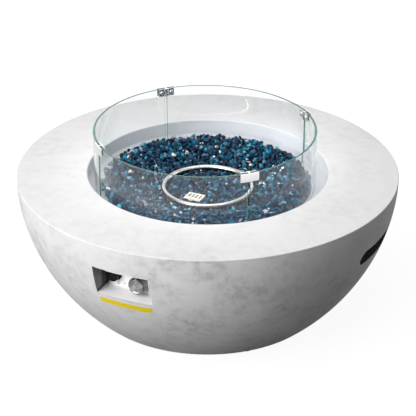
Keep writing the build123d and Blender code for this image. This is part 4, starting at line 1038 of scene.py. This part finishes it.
# %% Lay the lumps
def lay(name, shift, sunk):
    """One layer of lumps as one mesh: first the quads of all lumps, then their triangles."""
    points, pick = turned_lumps(*lump_places(shift, sunk))
    count = len(pick)
    first = (np.arange(count) * shapes.shape[1])[:, None, None]
    faces = [*(sides[None] + first).reshape(-1, 4).tolist(), *(caps[None] + first).reshape(-1, 3).tolist()]
    made = new_piece(name, points, faces, ["fire_glass"], "fire_bowl", smooth=False)
    mark_corners(made, lump_colours(pick))
    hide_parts("fire_glass_bed")
    print(name, "lumps", count, "faces", len(faces))


lay("fire_glass_upper", 0.0, 0.0)
lay("fire_glass_lower", 0.5, 0.0075)

# %% [markdown]
# Under the loose lumps lies the rest of the bed. It is one closed body, turned round the axis: its top
# follows the same profile, about the width of a lump lower, and swells where lumps would be, so no steel
# shows between them. It is hollow under the pilot's cage.

# %% The body of the bed
body_radius = 0.2945
body_floor = 0.3215
body_sunk = 0.0190
wave_height, wave_scale = 0.0022, 460
hollow_half, hollow_depth = (0.032, 0.028), 0.009
deep_tint = (0.008, 0.024, 0.046, 0.0)
turn_points, top_points, floor_points = 180, 60, 6


def bed_body():
    """Points (radius, level) round the axis. The top's height gets a small wave, the product of two sines,
    for lumps. Each end of the sheet is closed by a fan of triangles."""
    radius = np.concatenate([np.linspace(0.002, body_radius, top_points),
                             np.linspace(body_radius, 0.002, floor_points)])
    angle = np.linspace(0, 2 * np.pi, turn_points, endpoint=False)[:, None]
    x, y = radius * np.cos(angle), radius * np.sin(angle)
    wave = wave_height * np.sin(x * wave_scale) * np.sin(y * wave_scale + 1)
    hollow = hollow_depth * ((np.abs(x - pilot_middle[0]) < hollow_half[0])
                             & (np.abs(y - pilot_middle[1]) < hollow_half[1]))
    top = bed_level(radius) - body_sunk + wave - hollow
    z = np.where(np.arange(len(radius)) < top_points, top, body_floor)
    ends = np.array([[0, 0, float(np.mean(z[:, 0]))], [0, 0, body_floor]])
    count = len(radius)
    top_end, floor_end = z.size, z.size + 1
    start = np.arange(turn_points) * count
    after = np.roll(start, -1)
    faces = cells_of(turn_points, count, close_rows=True).tolist()
    faces += np.stack([np.full_like(start, top_end), start, after], -1).tolist()
    faces += np.stack([np.full_like(start, floor_end), after + count - 1, start + count - 1], -1).tolist()
    return np.concatenate([np.stack([x, y, z], -1).reshape(-1, 3), ends]), faces


points, faces = bed_body()
glass_base = new_piece("fire_glass_base", points, faces, ["fire_glass"], "fire_bowl")
mark_corners(glass_base, np.tile(deep_tint, (len(glass_base.data.loops), 1)))
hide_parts("fire_glass_bed")
print("fire_glass_base faces", len(faces))

# %% [markdown]
# ## The strip under the recess
# A plain yellow strip is stuck on the concrete under the recess, with a narrow pale border above it. It
# follows the wall's double curve, so its points are taken from the same curve as the bowl's wall.

# %% The strip
strip_left, strip_right = -0.0785, 0.0755
strip_low, strip_high = 0.2165, 0.2385
border_low = 0.2350
strip_gap = 0.0001
strip_thickness = 0.0003

tree, shader, place = new_finish("strip_film", {"Specular IOR Level": 0.1})
grime = effect(tree, clouds, scaled(tree, place, 1, 1, 3), scale=60.0, detail=4.0)
yellow = blended(tree, grime, (0.86, 0.66, 0.004, 1), (0.76, 0.57, 0.004, 1))
border = blended(tree, grime, (0.80, 0.80, 0.86, 1), (0.70, 0.70, 0.76, 1))
in_border = number(tree, "GREATER_THAN", axes(tree, place)[2], border_low)
feed(tree, shader, Base_Color=blended(tree, in_border, yellow, border),
     Roughness=spread(tree, grime, 0, 1, 0.32, 0.5), Normal=bump(tree, grime, 0.00008))

x = np.linspace(strip_left, strip_right, 41)[None, :]
z = np.linspace(strip_low, strip_high, 15)[:, None] + 0 * x
r = wall_radius(z) + strip_gap
strip = new_piece("plain_strip", np.stack([x + 0 * z, -np.sqrt(r ** 2 - x ** 2), z], -1), cells_of(*z.shape),
                  ["strip_film"], "fire_bowl")
film = strip.modifiers.new("film", "SOLIDIFY")
film.thickness = strip_thickness
film.offset = 1
settle(strip)

# %% [markdown]
# ## Finishes for the CAD pieces
# Every CAD piece already names the material slot that it was given in the record. The finishes carry the
# same names, so each slot gets its finish by name.

# %% Dress the CAD pieces
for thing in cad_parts.values():
    for slot in thing.material_slots:
        slot.material = finishes[slot.material.name.split(".")[0]]
print("dressed", len(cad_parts))

# %% [markdown]
# ## The lamps
# One large lamp stands at the left, a small low one beside it and a third hangs over the bowl. A weak low
# one at the right and a weak one behind keep those sides from going black. Large lamps give the soft edges
# of a studio's shadows.

# %% Place the lamps
lamp_aim = Vector((0, 0, 0.3))


def lamp(name, turn, rise, distance, size, power):
    """A square lamp at a turn from the view, a rise and a distance, pointing at the bowl."""
    light = bpy.data.lights.new(name, "AREA")
    light.shape = "SQUARE"
    light.size = size
    light.energy = power
    away = outward(view_turn + math.radians(turn), math.radians(rise))
    made = bpy.data.objects.new(name, light)
    made.location = lamp_aim + away * distance
    made.rotation_euler = away.to_track_quat("Z", "Y").to_euler()
    bpy.context.scene.collection.objects.link(made)


lamp("key_lamp", -50, 32, 4.5, 4.8, 221)
lamp("front_lamp", -45, 17, 4.5, 2.0, 67)
lamp("top_lamp", 0, 89, 3.2, 3.0, 53)
lamp("side_lamp", 108, 9, 4.5, 3.0, 33)
lamp("back_lamp", 195, 22, 4.5, 3.0, 16)
print("lamps", {light.name: light.energy for light in bpy.data.lights})

# %% [markdown]
# ## The room and the floor
# The white room fills the shadows a little. What the camera, a mirror or the glass sees of the room is
# plain white; that brightness isn't light on the bowl, because it is switched by the kind of ray.

# %% The room
fill_light = 0.10


def seen(tree):
    """1 for a ray from the camera, a mirror or through glass, and 0 for a ray that only carries light."""
    rays = wire(tree, "LightPath").outputs
    return any_of(tree, rays["Is Camera Ray"], rays["Is Glossy Ray"], rays["Is Transmission Ray"])


room = bpy.data.worlds.new("white_room")
room.use_nodes = True
bpy.context.scene.world = room
sky = room.node_tree.nodes["Background"]
sky.inputs["Color"].default_value = (1, 1, 1, 1)
room.node_tree.links.new(spread(room.node_tree, seen(room.node_tree), 0, 1, fill_light, 1.0),
                         sky.inputs["Strength"])
print("the room lights with", fill_light, "and is seen with 1.0")

# %% [markdown]
# The floor is a wide sheet that takes part in the same switch: it is seen as white, a little less so near
# the bowl, and to the light it is a dull dark grey that throws hardly anything back up. It doesn't glow
# under the bowl, so the gap under the base stays dark.

# %% The floor
floor_half = 12.0
dark_radius, glow_radius = 0.320, 0.335

tree, shader, place = new_finish("studio_floor", {"Roughness": 0.9, "Specular IOR Level": 0.0,
                                                  "Emission Color": (1, 1, 1, 1)})
dusty = effect(tree, clouds, place, scale=1.2, detail=3.0)
away = length(tree, place)
glow = product(tree, seen(tree), spread(tree, away, 0.6, 1.3, 0.93, 1.0),
               spread(tree, away, dark_radius, glow_radius))
feed(tree, shader, Base_Color=blended(tree, dusty, (0.10, 0.10, 0.10, 1), (0.12, 0.12, 0.12, 1)),
     Emission_Strength=glow)

corners = floor_half * np.array([(-1, -1, 0), (1, -1, 0), (1, 1, 0), (-1, 1, 0)])
floor_mesh = bpy.data.meshes.new("studio_floor")
floor_mesh.from_pydata(corners.tolist(), [], [(0, 1, 2, 3)])
floor_mesh.materials.append(finishes["studio_floor"])
floor = bpy.data.objects.new("studio_floor", floor_mesh)
bpy.context.scene.collection.objects.link(floor)
print("floor", short(floor.dimensions))
